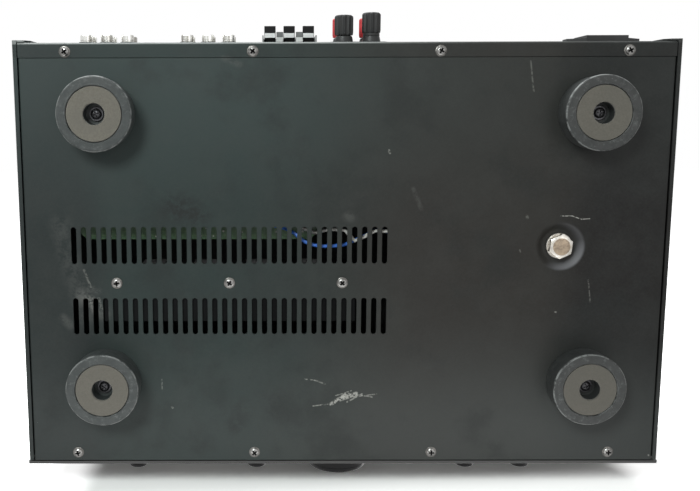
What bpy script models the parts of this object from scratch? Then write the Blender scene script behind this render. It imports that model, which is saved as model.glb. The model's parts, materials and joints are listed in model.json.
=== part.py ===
"""Full-width hi-fi amplifier, modelled as an assembly of separate pieces.

Metres, +Z up. The front faces -Y and +X is the right-hand side seen from the front. The feet stand
on z = 0, and the origin lies under the middle of the whole box, knobs and speaker posts included.
"""
import math

import bmesh
import bpy
from mathutils import Matrix, Vector

# Driving dimensions of the whole object
BODY_WIDTH = 0.430
BODY_DEPTH = 0.2825
BODY_HEIGHT = 0.102
FOOT_HEIGHT = 0.018
KNOB_REACH = 0.024
SHEET = 0.0012
CLEARANCE = 0.0003
RUNNING_CLEARANCE = 0.0004
OVERRUN = 0.003
WELD_DISTANCE = 0.00001

# Folded sheet-metal case
COVER_LIP = 0.0030
LIP_GAP = 0.0006
COVER_BEND = 0.0024
COVER_REAR_FLANGE = 0.011
COVER_FLANGE_CHAMFER = 0.004
PLATE_SIDE_FLANGE = 0.012
PLATE_FRONT_FLANGE = 0.010
PLATE_BEND = 0.0016
REAR_STRIP = 0.0111
SEAM_GAP = 0.0004
JOGGLE_LENGTH = 0.010
EDGE_SCREW_RADIUS = 0.0016
EDGE_SCREW_SIDE_INSET = 0.03395
EDGE_SCREW_COUNT = 4
REAR_SCREW_INSET = 0.0073
FRONT_SCREW_INSET = 0.0056

# Ventilation slots
SLOT_WIDTH = 0.0035
SLOT_LENGTH = 0.0248
SLOT_PITCH = 0.00664
SLOT_COUNT = 32
SLOT_ROW_SPACING = 0.048
SLOT_FIELD_SIDE_INSET = 0.1385
SLOT_FIELD_INSET = 0.125
TOP_SLOT_PITCH = 0.0144
TOP_SLOT_COUNT = 11
TRANSFORMER_SLOT_COUNT = 4
TOP_SLOT_LENGTH = 0.036
TOP_FRONT_SLOT_LENGTH = 0.0236
TOP_FRONT_ROW_SHIFT = 0.0208
TOP_REAR_ROW_SHIFT = 0.0463

# Feet
FOOT_SIDE_INSET = 0.055
FRONT_FOOT_INSET = 0.0555
REAR_FOOT_INSET = 0.0470
FOOT_RADIUS = 0.024
FOOT_TOP_RADIUS = 0.0232
FOOT_EDGE = 0.0014
INLAY_RADIUS = 0.0178
INLAY_THICKNESS = 0.0018
INLAY_INSET = 0.0004
INLAY_GROOVE = 0.0005
COUNTERBORE_RADIUS = 0.0068
COUNTERBORE_DEPTH = 0.0102
COUNTERBORE_CHAMFER = 0.0008
FOOT_SCREW_RADIUS = 0.002
FOOT_SCREW_FLANGE_RADIUS = 0.0046
FOOT_SCREW_FLANGE = 0.0008
FOOT_SCREW_HEAD_RADIUS = 0.0034
FOOT_SCREW_HEAD = 0.0018
FOOT_SCREW_CROWN_SHARE = 0.85
FOOT_SCREW_ABOVE_PLATE = 0.005

# Toroidal transformer and its bolt
TRANSFORMER_SIDE_INSET = 0.0725
TRANSFORMER_INSET = 0.148
TRANSFORMER_RADIUS = 0.055
TRANSFORMER_BORE_RADIUS = 0.0185
TRANSFORMER_HEIGHT = 0.046
TRANSFORMER_ROUNDING = 0.009
DISH_RADIUS = 0.0150
DISH_FLAT_RADIUS = 0.0104
DISH_DEPTH = 0.0038
BOLT_RADIUS = 0.004
BOLT_FLANGE_RADIUS = 0.0086
BOLT_FLANGE = 0.0014
BOLT_HEAD_ACROSS_FLATS = 0.013
BOLT_HEAD = 0.0045
BOLT_END_ABOVE_WASHER = 0.010
CLAMP_RADIUS = 0.034
CLAMP_SHEET = 0.002
CLAMP_DISH = 0.003

# Heat sink, its screws and the power transistors
HEAT_SINK_LENGTH = 0.168
HEAT_SINK_HEIGHT = 0.068
HEAT_SINK_BASE = 0.007
HEAT_SINK_DEPTH = 0.034
HEAT_SINK_SCREW_OFFSET = 0.0012
FIN_COUNT = 15
FIN_THICKNESS = 0.0022
HEAT_SINK_SCREW_SPACING = 0.075
HEAT_SINK_SCREW_RADIUS = 0.0018
HEAT_SINK_SCREW_DEPTH = 0.010
SMALL_HEAD_RADIUS = 0.0031
SMALL_HEAD_HEIGHT = 0.0018
TRANSISTOR_COUNT = 4
TRANSISTOR_PITCH = 0.036
TRANSISTOR_WIDTH = 0.0156
TRANSISTOR_HEIGHT = 0.020
TRANSISTOR_THICKNESS = 0.0048
TRANSISTOR_CHAMFER = 0.002
TRANSISTOR_LIFT = 0.020

# Circuit boards and reservoir capacitors
BOARD_THICKNESS = 0.0016
BOARD_LIFT = 0.010
MAIN_BOARD_WIDTH = 0.159
MAIN_BOARD_SIDE_INSET = 0.038
MAIN_BOARD_FRONT_INSET = 0.1516
BOARD_CORNER = 0.004
CAPACITOR_RADIUS = 0.015
CAPACITOR_HEIGHT = 0.050
CAPACITOR_GROOVE = 0.0012
CAPACITOR_PITCH = 0.040
CAPACITOR_SIDE_INSET = 0.120
CAPACITOR_INSET = 0.190
CONTROL_BOARD_DEPTH = 0.046

# Front panel and its sub-panel
PANEL_THICKNESS = 0.0022
PANEL_GAP = 0.0010
PANEL_OVERHANG = 0.0008
PANEL_RISE = 0.0005
PANEL_ROUNDING = 0.0009
BRACKET_FLANGE = 0.011
BRACKET_BEND = 0.0016

# Knobs, potentiometers and the shafts between them
VOLUME_HEIGHT = 0.052
VOLUME_RADIUS = 0.0215
VOLUME_EDGE = 0.0016
SMALL_KNOB_HEIGHT = 0.034
SMALL_KNOB_RADIUS = 0.0065
SMALL_KNOB_REACH = 0.018
SMALL_KNOB_EDGE = 0.0007
KNOB_BACK_GAP = 0.0009
SHAFT_RADIUS = 0.003
BUSH_RADIUS = 0.0042
BUSH_LENGTH = 0.0046
POT_RADIUS = 0.0085
VOLUME_POT_RADIUS = 0.0125
POT_LENGTH = 0.010
POT_BORE_DEPTH = 0.004
POINTER_WIDTH = 0.0009
POINTER_DEPTH = 0.0004
BASS_SHARE = -0.6116
TREBLE_SHARE = -0.4256
BALANCE_SHARE = 0.2767
SELECTOR_SHARE = 0.6767

# Power button, its switch and the headphone socket
BUTTON_SIDE_INSET = 0.023
BUTTON_WIDTH = 0.016
BUTTON_HEIGHT = 0.009
BUTTON_REACH = 0.0072
BUTTON_ROUNDING = 0.0012
BUTTON_TRAVEL = 0.003
BUTTON_STEM = 0.005
SWITCH_WIDTH = 0.014
SWITCH_HEIGHT = 0.018
SWITCH_LENGTH = 0.022
SWITCH_POCKET = 0.009
SOCKET_SIDE_INSET = 0.050
SOCKET_BORE_RADIUS = 0.0034
SOCKET_DEPTH = 0.028
SOCKET_CAVITY = 0.0074
SOCKET_FACE_WALL = 0.002
SOCKET_NOSE_RADIUS = 0.0052
SOCKET_RIM_RADIUS = 0.0072
SOCKET_RIM = 0.0014
SOCKET_BODY_WIDTH = 0.016
SOCKET_BODY_LENGTH = 0.026

# Phono input jacks
JACK_PITCH = 0.014
JACK_COLUMNS = 3
JACK_ROWS = 2
JACK_LOW_HEIGHT = 0.031
JACK_GROUP_SIDE_INSET = 0.0555
JACK_GROUP_PITCH = 0.0684
JACK_RADIUS = 0.00415
JACK_COLLAR_RADIUS = 0.0052
JACK_COLLAR = 0.0026
JACK_REACH = 0.0047
JACK_HOLE_RADIUS = 0.0016
JACK_HOLE_DEPTH = 0.008
JACK_BLOCK_DEPTH = 0.011
JACK_BLOCK_MARGIN = 0.0065

# Push-lever loudspeaker terminals
PUSH_SIDE_INSET = 0.1788
PUSH_WIDTH = 0.0364
PUSH_LOW_HEIGHT = 0.022
PUSH_TALL = 0.031
PUSH_REACH = 0.0047
PUSH_INNER_DEPTH = 0.010
PUSH_SHOULDER = 0.0015
PUSH_CHANNEL_DEPTH = 0.0135
LEVER_PITCH = 0.013
LEVER_COUNT = 3
LEVER_WIDTH = 0.0077
LEVER_SIDE_GAP = 0.0004
LEVER_PIVOT_RADIUS = 0.0018
LEVER_ARM = 0.0155
LEVER_TAB_REACH = 0.0110
LEVER_TAB_THICKNESS = 0.0026
LEVER_ARM_THICKNESS = 0.0022

# Screw-cap loudspeaker posts
POST_TO_PUSH = 0.0462
POST_PITCH_X = 0.0185
POST_PITCH_Z = 0.019
POST_LOW_HEIGHT = 0.031
POST_BASE_MARGIN = 0.0105
COLLAR_RADIUS = 0.0062
COLLAR_TOP_RADIUS = 0.0056
COLLAR_LENGTH = 0.0061
STUD_RADIUS = 0.0022
STUD_IN_CAP = 0.008
CAP_RADIUS = 0.0063
CAP_LENGTH = 0.0132
CAP_ROUNDING = 0.0016
CAP_FLUTES = 12
CAP_FLUTE_DEPTH = 0.0005
CAP_BACKED_OFF = 0.0016

# Mains inlet
INLET_SIDE_INSET = 0.044
INLET_HEIGHT = 0.0225
INLET_BODY_WIDTH = 0.0274
INLET_BODY_TALL = 0.0225
INLET_EAR_SPAN = 0.048
INLET_EAR_TALL = 0.008
INLET_FLANGE = 0.0026
INLET_RAISE = 0.0011
INLET_CAVITY_WIDTH = 0.0245
INLET_CAVITY_TALL = 0.0163
INLET_CAVITY_DEPTH = 0.016
INLET_CAVITY_CHAMFER = 0.004
INLET_WALL = 0.0014
INLET_FLOOR = 0.003
PIN_SPACING = 0.014
PIN_OFFSET = 0.004
PIN_WIDTH = 0.002
PIN_TALL = 0.004
PIN_RECESS = 0.005

# Leads inside the case
LEAD_RADIUS = 0.0012
LEAD_STEP = 0.005
BLUE_LEAD_UNDER_BOARD = 0.028
WHITE_LEAD_UNDER_BOARD = 0.010
BLUE_LEAD_SHARES = (
    (0.0, 0.0, 1.86), (0.081, -0.073, 1.44), (0.294, 0.170, 0.84), (0.455, 0.385, 0.88), (0.500, 0.381, 0.88),
    (0.553, 0.224, 0.86), (0.601, 0.119, 0.80), (0.652, 0.014, 0.60), (0.700, -0.006, 0.44),
    (0.752, -0.014, 0.40), (0.801, 0.014, 0.40), (0.854, 0.119, 0.45), (0.903, 0.329, 0.68),
    (0.949, 0.446, 0.96), (1.0, 0.514, 1.0),
)
WHITE_LEAD_SHARES = (
    (0.0, 0.435, 1.86), (0.094, 0.435, 1.44), (0.340, 0.373, 0.40), (0.526, 0.393, 0.36), (0.578, 0.401, 0.36),
    (0.640, 0.240, 0.36), (0.694, 0.135, 0.36), (0.723, 0.276, 0.38), (0.752, 0.417, 0.40),
    (0.813, 0.442, 0.50), (0.870, 0.405, 0.68), (0.924, 0.329, 0.90), (1.0, 0.454, 1.0),
)

# Places worked out from the driving dimensions
HALF_WIDTH = BODY_WIDTH / 2
TOP_Z = FOOT_HEIGHT + BODY_HEIGHT
CAP_SEAT = COLLAR_LENGTH + CLEARANCE * 2
POST_REACH = CAP_SEAT + CAP_LENGTH + CAP_BACKED_OFF - SHEET - CLEARANCE
FRONT_Y = KNOB_REACH - (BODY_DEPTH + KNOB_REACH + POST_REACH) / 2
REAR_Y = FRONT_Y + BODY_DEPTH
PLATE_HALF = HALF_WIDTH - COVER_LIP - LIP_GAP
PLATE_TOP_Z = FOOT_HEIGHT + SHEET
SEAM_Y = REAR_Y - REAR_STRIP
REAR_FACE_Y = REAR_Y - SHEET - CLEARANCE
BRACKET_Y = FRONT_Y + SHEET + CLEARANCE
PANEL_BACK_Y = FRONT_Y - PANEL_GAP
PANEL_FACE_Y = PANEL_BACK_Y - PANEL_THICKNESS
BOARD_Z = PLATE_TOP_Z + BOARD_LIFT
BOARD_TOP_Z = BOARD_Z + BOARD_THICKNESS
PUSH_FRONT_Y = REAR_Y + PUSH_REACH
SLOT_FIELD_X = HALF_WIDTH - SLOT_FIELD_SIDE_INSET
HEAT_SINK_SCREW_Y = FRONT_Y + SLOT_FIELD_INSET - HEAT_SINK_SCREW_OFFSET
TRANSFORMER_X = TRANSFORMER_SIDE_INSET - HALF_WIDTH
MAIN_BOARD_RIGHT = HALF_WIDTH - MAIN_BOARD_SIDE_INSET
MAIN_BOARD_LEFT = MAIN_BOARD_RIGHT - MAIN_BOARD_WIDTH
CAPACITOR_X = HALF_WIDTH - CAPACITOR_SIDE_INSET
BASS_X = HALF_WIDTH * BASS_SHARE
TREBLE_X = HALF_WIDTH * TREBLE_SHARE
BALANCE_X = HALF_WIDTH * BALANCE_SHARE
SELECTOR_X = HALF_WIDTH * SELECTOR_SHARE
BUTTON_X = BUTTON_SIDE_INSET - HALF_WIDTH
SOCKET_X = SOCKET_SIDE_INSET - HALF_WIDTH
JACK_GROUP_X = HALF_WIDTH - JACK_GROUP_SIDE_INSET
JACK_GROUP_XS = (JACK_GROUP_X, JACK_GROUP_X - JACK_GROUP_PITCH)
PUSH_X = HALF_WIDTH - PUSH_SIDE_INSET
POST_X = PUSH_X - POST_TO_PUSH
INLET_X = INLET_SIDE_INSET - HALF_WIDTH

QUARTER = math.pi / 2
FACE_FRONT = Matrix.Rotation(QUARTER, 4, "X")
FACE_REAR = Matrix.Rotation(-QUARTER, 4, "X")
UPRIGHT = Matrix.Identity(4)


def start_scene():
    """Clear the objects and make the two collections."""
    for item in list(bpy.data.objects):
        bpy.data.objects.remove(item, do_unlink=True)
    groups = []
    for title in ("hifi_amplifier", "cutters"):
        group = bpy.data.collections.new(title)
        bpy.context.scene.collection.children.link(group)
        groups.append(group)
    return groups


PARTS, CUTTERS = start_scene()


def material(name, colour, roughness, metallic=0.0):
    """A plain Principled material of the given base colour."""
    made = bpy.data.materials.new(name)
    made.use_nodes = True
    shader = made.node_tree.nodes["Principled BSDF"]
    shader.inputs["Base Color"].default_value = (*colour, 1.0)
    shader.inputs["Roughness"].default_value = roughness
    shader.inputs["Metallic"].default_value = metallic
    return made


BLACK_STEEL = ((0.055, 0.062, 0.060), 0.5, 0.3)
BLACK_PLASTIC = ((0.02, 0.02, 0.02), 0.45)
GREY_PLASTIC = ((0.22, 0.23, 0.23), 0.5)
RED_PLASTIC = ((0.6, 0.02, 0.02), 0.4)
BARE_STEEL = ((0.6, 0.6, 0.58), 0.3, 1.0)
NICKEL = ((0.7, 0.68, 0.62), 0.25, 1.0)
ALUMINIUM = ((0.45, 0.45, 0.46), 0.4, 1.0)
BOARD_GREEN = ((0.03, 0.16, 0.08), 0.5)
INLAY_GREY = ((0.15, 0.145, 0.125), 0.6)
RUBBER = ((0.035, 0.038, 0.038), 0.7)
COPPER_TAPE = ((0.35, 0.26, 0.08), 0.4)
BLUE_SLEEVE = ((0.02, 0.06, 0.4), 0.45)
WHITE_SLEEVE = ((0.6, 0.6, 0.58), 0.5)


def place(item, finish=None):
    """Put an object among the parts with its own material, or among the cutters."""
    if finish is None:
        CUTTERS.objects.link(item)
        item.hide_render = True
        item.display_type = "WIRE"
        return item
    PARTS.objects.link(item)
    item.data.materials.clear()
    item.data.materials.append(material(item.name + "_finish", *finish))
    return item


def from_bmesh(name, shape, finish=None):
    """Turn a bmesh into an object."""
    mesh = bpy.data.meshes.new(name)
    bmesh.ops.recalc_face_normals(shape, faces=shape.faces)
    shape.to_mesh(mesh)
    shape.free()
    return place(bpy.data.objects.new(name, mesh), finish)


def box(name, low, high, finish=None, rounding=0.0, steps=1):
    """A block between two corners, with all its edges rounded when asked."""
    shape = bmesh.new()
    bmesh.ops.create_cube(shape, size=1.0)
    size = Vector(high) - Vector(low)
    middle = (Vector(high) + Vector(low)) / 2
    stretch = Matrix.Translation(middle) @ Matrix.Diagonal((*size, 1.0))
    bmesh.ops.transform(shape, matrix=stretch, verts=shape.verts)
    if rounding:
        bmesh.ops.bevel(shape, geom=shape.edges[:], offset=rounding, segments=steps, profile=0.5,
                        affect="EDGES")
    return from_bmesh(name, shape, finish)


def rods(name, centres, radius, start, end, facing, sides, finish=None):
    """Equal cylinders at several centres, from start to end along the way they face."""
    shape = bmesh.new()
    for centre in centres:
        along = Matrix.Translation(centre) @ facing @ Matrix.Translation((0, 0, (start + end) / 2))
        bmesh.ops.create_cone(shape, cap_ends=True, segments=sides, radius1=radius, radius2=radius,
                              depth=end - start, matrix=along)
    return from_bmesh(name, shape, finish)


def turned(name, profile, centre, facing, sides, finish=None, closed=False):
    """Turn a profile of (radius, height) points, which runs down its outer side, about its axis."""
    mesh = bpy.data.meshes.new(name)
    points = [(radius, 0, height) for radius, height in profile]
    edges = [(index, index + 1) for index in range(len(points) - 1)]
    if closed:
        edges.append((len(points) - 1, 0))
    mesh.from_pydata(points, edges, [])
    item = bpy.data.objects.new(name, mesh)
    item.matrix_world = Matrix.Translation(centre) @ facing
    screw = item.modifiers.new("turn", "SCREW")
    screw.steps = sides
    screw.render_steps = sides
    screw.use_merge_vertices = True
    screw.merge_threshold = WELD_DISTANCE
    screw.use_smooth_shade = True
    return place(item, finish)


PLANES = {
    "XY": UPRIGHT,
    "XZ": FACE_FRONT,
    "YZ": Matrix(((0, 0, 1, 0), (1, 0, 0, 0), (0, 1, 0, 0), (0, 0, 0, 1))),
}


def extruded(name, outlines, plane, start, end, finish=None):
    """A flat outline, with any holes as further outlines, drawn out square to its plane."""
    curve = bpy.data.curves.new(name, "CURVE")
    curve.dimensions = "2D"
    curve.fill_mode = "BOTH"
    curve.extrude = (end - start) / 2
    curve.resolution_u = 1
    for outline in outlines:
        spline = curve.splines.new("POLY")
        spline.points.add(len(outline) - 1)
        for point, (across, up) in zip(spline.points, outline):
            point.co = (across, up, 0, 1)
        spline.use_cyclic_u = True
    guide = bpy.data.objects.new(name + "_outline", curve)
    sign = -1 if plane == "XZ" else 1
    guide.matrix_world = PLANES[plane] @ Matrix.Translation((0, 0, sign * (start + end) / 2))
    bpy.context.scene.collection.objects.link(guide)
    item = to_mesh(name, guide)
    return place(item, finish)


def to_mesh(name, guide):
    """Make a closed mesh object from a curve object, and remove the curve."""
    graph = bpy.context.evaluated_depsgraph_get()
    mesh = bpy.data.meshes.new_from_object(guide.evaluated_get(graph))
    shape = bmesh.new()
    shape.from_mesh(mesh)
    bmesh.ops.remove_doubles(shape, verts=shape.verts, dist=WELD_DISTANCE)
    bmesh.ops.recalc_face_normals(shape, faces=shape.faces)
    shape.to_mesh(mesh)
    shape.free()
    mesh.name = name
    item = bpy.data.objects.new(name, mesh)
    item.matrix_world = guide.matrix_world.copy()
    bpy.data.objects.remove(guide, do_unlink=True)
    return item


def arc(centre, radius, start, end, steps):
    """Points of an arc between two angles in degrees, both ends included."""
    angles = [math.radians(start + (end - start) * step / steps) for step in range(steps + 1)]
    return [(centre[0] + radius * math.cos(a), centre[1] + radius * math.sin(a)) for a in angles]


def rounded_path(points, radius, steps):
    """An open path whose inner corners are replaced by arcs."""
    path = [points[0]]
    for before, corner, after in zip(points, points[1:], points[2:]):
        here = Vector(corner)
        into = (Vector(before) - here).normalized()
        out = (Vector(after) - here).normalized()
        half = into.angle(out) / 2
        centre = here + (into + out).normalized() * radius / math.sin(half)
        first = here + into * radius / math.tan(half) - centre
        last = here + out * radius / math.tan(half) - centre
        turn = first.angle_signed(last)
        for step in range(steps + 1):
            swept = -turn * step / steps
            path.append(tuple(centre + Matrix.Rotation(swept, 2) @ first))
    path.append(points[-1])
    return path


def bent_sheet(name, path, plane, start, end, finish):
    """Folded sheet: an open strip along a path whose outside lies to its left, thickened inwards."""
    shape = bmesh.new()
    rows = []
    for across, up in path:
        if plane == "XZ":
            ends = [(across, start, up), (across, end, up)]
        else:
            ends = [(start, across, up), (end, across, up)]
        rows.append([shape.verts.new(corner) for corner in ends])
    for first, second in zip(rows, rows[1:]):
        shape.faces.new((first[0], second[0], second[1], first[1]))
    mesh = bpy.data.meshes.new(name)
    shape.to_mesh(mesh)
    shape.free()
    item = bpy.data.objects.new(name, mesh)
    wall = item.modifiers.new("wall", "SOLIDIFY")
    wall.thickness = SHEET
    wall.offset = -1.0
    wall.use_even_offset = True
    return place(item, finish)


def combine(item, others, operation):
    """Join other objects to an item, or cut them out of it."""
    for other in others:
        step = item.modifiers.new(operation.lower() + "_" + other.name, "BOOLEAN")
        step.operation = operation
        step.object = other
        step.solver = "EXACT"
    return item


def add(item, *others):
    return combine(item, others, "UNION")


def cut(item, *others):
    return combine(item, others, "DIFFERENCE")


def repeat(item, count, step):
    """Repeat a cutter in a row with an Array."""
    row = item.modifiers.new("row", "ARRAY")
    row.count = count
    row.use_relative_offset = False
    row.use_constant_offset = True
    row.constant_offset_displace = step
    return item


def slot_cutter(name, x_first, y_middle, length, low, high, count, pitch, sides):
    """A row of round-ended slots that run along Y."""
    straight = (length - SLOT_WIDTH) / 2
    ends = arc((x_first, y_middle + straight), SLOT_WIDTH / 2, 0, 180, sides)
    ends += arc((x_first, y_middle - straight), SLOT_WIDTH / 2, 180, 360, sides)
    cutter = extruded(name, [ends], "XY", low, high)
    return repeat(cutter, count, (pitch, 0, 0))


def edge_screw_centres(y, z):
    """The row of screws along the front or rear edge of the bottom plate."""
    first_x = EDGE_SCREW_SIDE_INSET - HALF_WIDTH
    spacing = first_x * -2 / (EDGE_SCREW_COUNT - 1)
    return [(first_x + index * spacing, y, z) for index in range(EDGE_SCREW_COUNT)]


def foot_centres():
    """Name and centre of each foot."""
    places = {}
    for end, y in (("front", FRONT_Y + FRONT_FOOT_INSET), ("rear", REAR_Y - REAR_FOOT_INSET)):
        for side, sign in (("left", -1), ("right", 1)):
            places[end + "_" + side] = (sign * (HALF_WIDTH - FOOT_SIDE_INSET), y, 0)
    return places


def heat_sink_screw_centres(z):
    """The three screws that hold the heat sink from below."""
    first_x = SLOT_FIELD_X - HEAT_SINK_SCREW_SPACING
    return [(first_x + step * HEAT_SINK_SCREW_SPACING, HEAT_SINK_SCREW_Y, z) for step in range(3)]


def dish_side(extra):
    """The pressed dish's soft wall, from its flat to its rim, as (radius, rise) points."""
    steps = 3
    points = []
    for step in range(steps + 1):
        share = step / steps
        soft = share * share * (3 - 2 * share)
        radius = DISH_FLAT_RADIUS + (DISH_RADIUS - DISH_FLAT_RADIUS) * share
        points.append((radius + extra, DISH_DEPTH * (1 - soft) + extra))
    return points


def bottom_plate():
    """The tray: vented sheet with side and front flanges, a stepped rear lip and a pressed dish."""
    top = FOOT_HEIGHT + PLATE_SIDE_FLANGE
    corners = [(PLATE_HALF, top), (PLATE_HALF, FOOT_HEIGHT),
               (-PLATE_HALF, FOOT_HEIGHT), (-PLATE_HALF, top)]
    end = SEAM_Y - SEAM_GAP
    path = rounded_path(corners, PLATE_BEND, 2)
    plate = bent_sheet("bottom_plate", path, "XZ", FRONT_Y, end, BLACK_STEEL)
    inside = PLATE_HALF - SHEET / 2
    flange = box("plate_front_flange", (-inside, FRONT_Y, FOOT_HEIGHT + SHEET / 2),
                 (inside, FRONT_Y + SHEET, FOOT_HEIGHT + PLATE_FRONT_FLANGE))
    step_z = PLATE_TOP_Z + CLEARANCE
    lip_outline = [
        (end - JOGGLE_LENGTH, FOOT_HEIGHT + SHEET / 2), (end - SHEET * 2, FOOT_HEIGHT + SHEET / 2),
        (end - SHEET, step_z), (REAR_FACE_Y - SHEET * 2, step_z),
        (REAR_FACE_Y - SHEET * 2, step_z + SHEET), (end - JOGGLE_LENGTH, step_z + SHEET),
    ]
    lip = extruded("plate_rear_lip", [lip_outline], "YZ", -inside, inside)
    centre = (TRANSFORMER_X, FRONT_Y + TRANSFORMER_INSET, FOOT_HEIGHT)
    wall = dish_side(SHEET)
    boss = turned("dish_boss", [(0, wall[0][1]), *wall[:-1], (wall[-1][0], SHEET / 2), (0, SHEET / 2)],
                  centre, UPRIGHT, 20)
    hollow = [(0, DISH_DEPTH), *dish_side(0), (DISH_RADIUS, -OVERRUN), (0, -OVERRUN)]
    recess = turned("dish_recess", hollow, centre, UPRIGHT, 20)
    add(plate, flange, lip, boss)
    first_x = SLOT_FIELD_X - SLOT_PITCH * (SLOT_COUNT - 1) / 2
    low_y = FRONT_Y + SLOT_FIELD_INSET - SLOT_ROW_SPACING / 2
    below = FOOT_HEIGHT - OVERRUN
    above = PLATE_TOP_Z + OVERRUN
    slots = slot_cutter("plate_slots", first_x, low_y, SLOT_LENGTH, below, above, SLOT_COUNT, SLOT_PITCH, 3)
    rows = slots.modifiers.new("rows", "ARRAY")
    rows.count = 2
    rows.use_relative_offset = False
    rows.use_constant_offset = True
    rows.constant_offset_displace = (0, SLOT_ROW_SPACING, 0)
    bolt_hole = rods("bolt_hole", [centre], BOLT_RADIUS + RUNNING_CLEARANCE, -OVERRUN,
                     DISH_DEPTH + OVERRUN, UPRIGHT, 16)
    foot_holes = rods("foot_screw_holes", foot_centres().values(), FOOT_SCREW_RADIUS + RUNNING_CLEARANCE,
                      below, above, UPRIGHT, 10)
    sink_holes = rods("heat_sink_screw_holes", heat_sink_screw_centres(0),
                      HEAT_SINK_SCREW_RADIUS + RUNNING_CLEARANCE, below, above, UPRIGHT, 10)
    edge_centres = edge_screw_centres(FRONT_Y + FRONT_SCREW_INSET, 0)
    edge_holes = rods("front_screw_holes", edge_centres, EDGE_SCREW_RADIUS, below, above, UPRIGHT, 8)
    return cut(plate, slots, recess, bolt_hole, foot_holes, sink_holes, edge_holes)


def jack_centres(group_x, y):
    """The phono jacks of one group, three across and two up."""
    centres = []
    for row in range(JACK_ROWS):
        for column in range(JACK_COLUMNS):
            x = group_x + (column - (JACK_COLUMNS - 1) / 2) * JACK_PITCH
            centres.append((x, y, FOOT_HEIGHT + JACK_LOW_HEIGHT + row * JACK_PITCH))
    return centres


def post_centres():
    """Name and centre of each screw-cap post: black below, red above."""
    places = {}
    for row, colour in enumerate(("black", "red")):
        for side, sign in (("left", -1), ("right", 1)):
            x = POST_X + sign * POST_PITCH_X / 2
            z = FOOT_HEIGHT + POST_LOW_HEIGHT + row * POST_PITCH_Z
            places[colour + "_" + side] = (x, REAR_FACE_Y, z)
    return places


def rear_panel():
    """The rear panel: one folded sheet, with its bottom strip level with the bottom plate."""
    corners = [(SEAM_Y, FOOT_HEIGHT), (REAR_FACE_Y, FOOT_HEIGHT),
               (REAR_FACE_Y, TOP_Z - SHEET - CLEARANCE)]
    panel = bent_sheet("rear_panel", rounded_path(corners, PLATE_BEND, 2), "YZ", -PLATE_HALF, PLATE_HALF,
                       BLACK_STEEL)
    jacks = [centre for group in JACK_GROUP_XS for centre in jack_centres(group, REAR_FACE_Y)]
    jack_holes = rods("jack_holes", jacks, JACK_COLLAR_RADIUS + CLEARANCE * 2, -SHEET - OVERRUN, OVERRUN,
                      FACE_REAR, 8)
    push_half = PUSH_WIDTH / 2 + CLEARANCE
    push_low = FOOT_HEIGHT + PUSH_LOW_HEIGHT + PUSH_SHOULDER - CLEARANCE
    push_high = FOOT_HEIGHT + PUSH_LOW_HEIGHT + PUSH_TALL - PUSH_SHOULDER + CLEARANCE
    inside = REAR_FACE_Y - SHEET - OVERRUN
    outside = REAR_FACE_Y + OVERRUN
    push_hole = box("push_hole", (PUSH_X - push_half, inside, push_low),
                    (PUSH_X + push_half, outside, push_high))
    posts = rods("post_holes", post_centres().values(), COLLAR_TOP_RADIUS + CLEARANCE, -SHEET - OVERRUN,
                 OVERRUN, FACE_REAR, 10)
    inlet_half = INLET_CAVITY_WIDTH / 2 + INLET_WALL + CLEARANCE
    inlet_tall = INLET_CAVITY_TALL / 2 + INLET_WALL + CLEARANCE
    inlet_z = FOOT_HEIGHT + INLET_HEIGHT
    inlet_hole = box("inlet_hole", (INLET_X - inlet_half, inside, inlet_z - inlet_tall),
                     (INLET_X + inlet_half, outside, inlet_z + inlet_tall))
    screw_centres = edge_screw_centres(REAR_Y - REAR_SCREW_INSET, 0)
    screws = rods("rear_screw_holes", screw_centres, EDGE_SCREW_RADIUS, FOOT_HEIGHT - OVERRUN,
                  PLATE_TOP_Z + CLEARANCE / 2, UPRIGHT, 8)
    return cut(panel, jack_holes, push_hole, posts, inlet_hole, screws)


def top_cover():
    """The folded cover: top, two sides, bottom lips, rear flanges and vent slots in the top."""
    lip = HALF_WIDTH - COVER_LIP
    corners = [(-lip, FOOT_HEIGHT), (-HALF_WIDTH, FOOT_HEIGHT), (-HALF_WIDTH, TOP_Z),
               (HALF_WIDTH, TOP_Z), (HALF_WIDTH, FOOT_HEIGHT), (lip, FOOT_HEIGHT)]
    path = rounded_path(corners, COVER_BEND, 3)
    cover = bent_sheet("top_cover", path, "XZ", FRONT_Y, REAR_Y, BLACK_STEEL)
    outer = HALF_WIDTH - SHEET / 2
    inner = HALF_WIDTH - COVER_REAR_FLANGE
    low = FOOT_HEIGHT + SHEET / 2
    high = TOP_Z - SHEET / 2
    under = TOP_Z - COVER_REAR_FLANGE
    frame = [(-outer, low), (-inner - COVER_FLANGE_CHAMFER, low), (-inner, low + COVER_FLANGE_CHAMFER),
             (-inner, under), (inner, under), (inner, low + COVER_FLANGE_CHAMFER),
             (inner + COVER_FLANGE_CHAMFER, low), (outer, low), (outer, high), (-outer, high)]
    flange = extruded("cover_rear_flange", [frame], "XZ", REAR_Y - SHEET, REAR_Y)
    add(cover, flange)
    field_y = FRONT_Y + SLOT_FIELD_INSET
    rows = (
        ("front", SLOT_FIELD_X, field_y - TOP_FRONT_ROW_SHIFT, TOP_FRONT_SLOT_LENGTH, TOP_SLOT_COUNT),
        ("rear", SLOT_FIELD_X, field_y + TOP_REAR_ROW_SHIFT, TOP_SLOT_LENGTH, TOP_SLOT_COUNT),
        ("transformer", TRANSFORMER_X, FRONT_Y + TRANSFORMER_INSET, TOP_SLOT_LENGTH,
         TRANSFORMER_SLOT_COUNT),
    )
    for row, x, y, length, count in rows:
        first_x = x - TOP_SLOT_PITCH * (count - 1) / 2
        cut(cover, slot_cutter("cover_slots_" + row, first_x, y, length, TOP_Z - SHEET - OVERRUN,
                               TOP_Z + OVERRUN, count, TOP_SLOT_PITCH, 2))
    return cover


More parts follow.
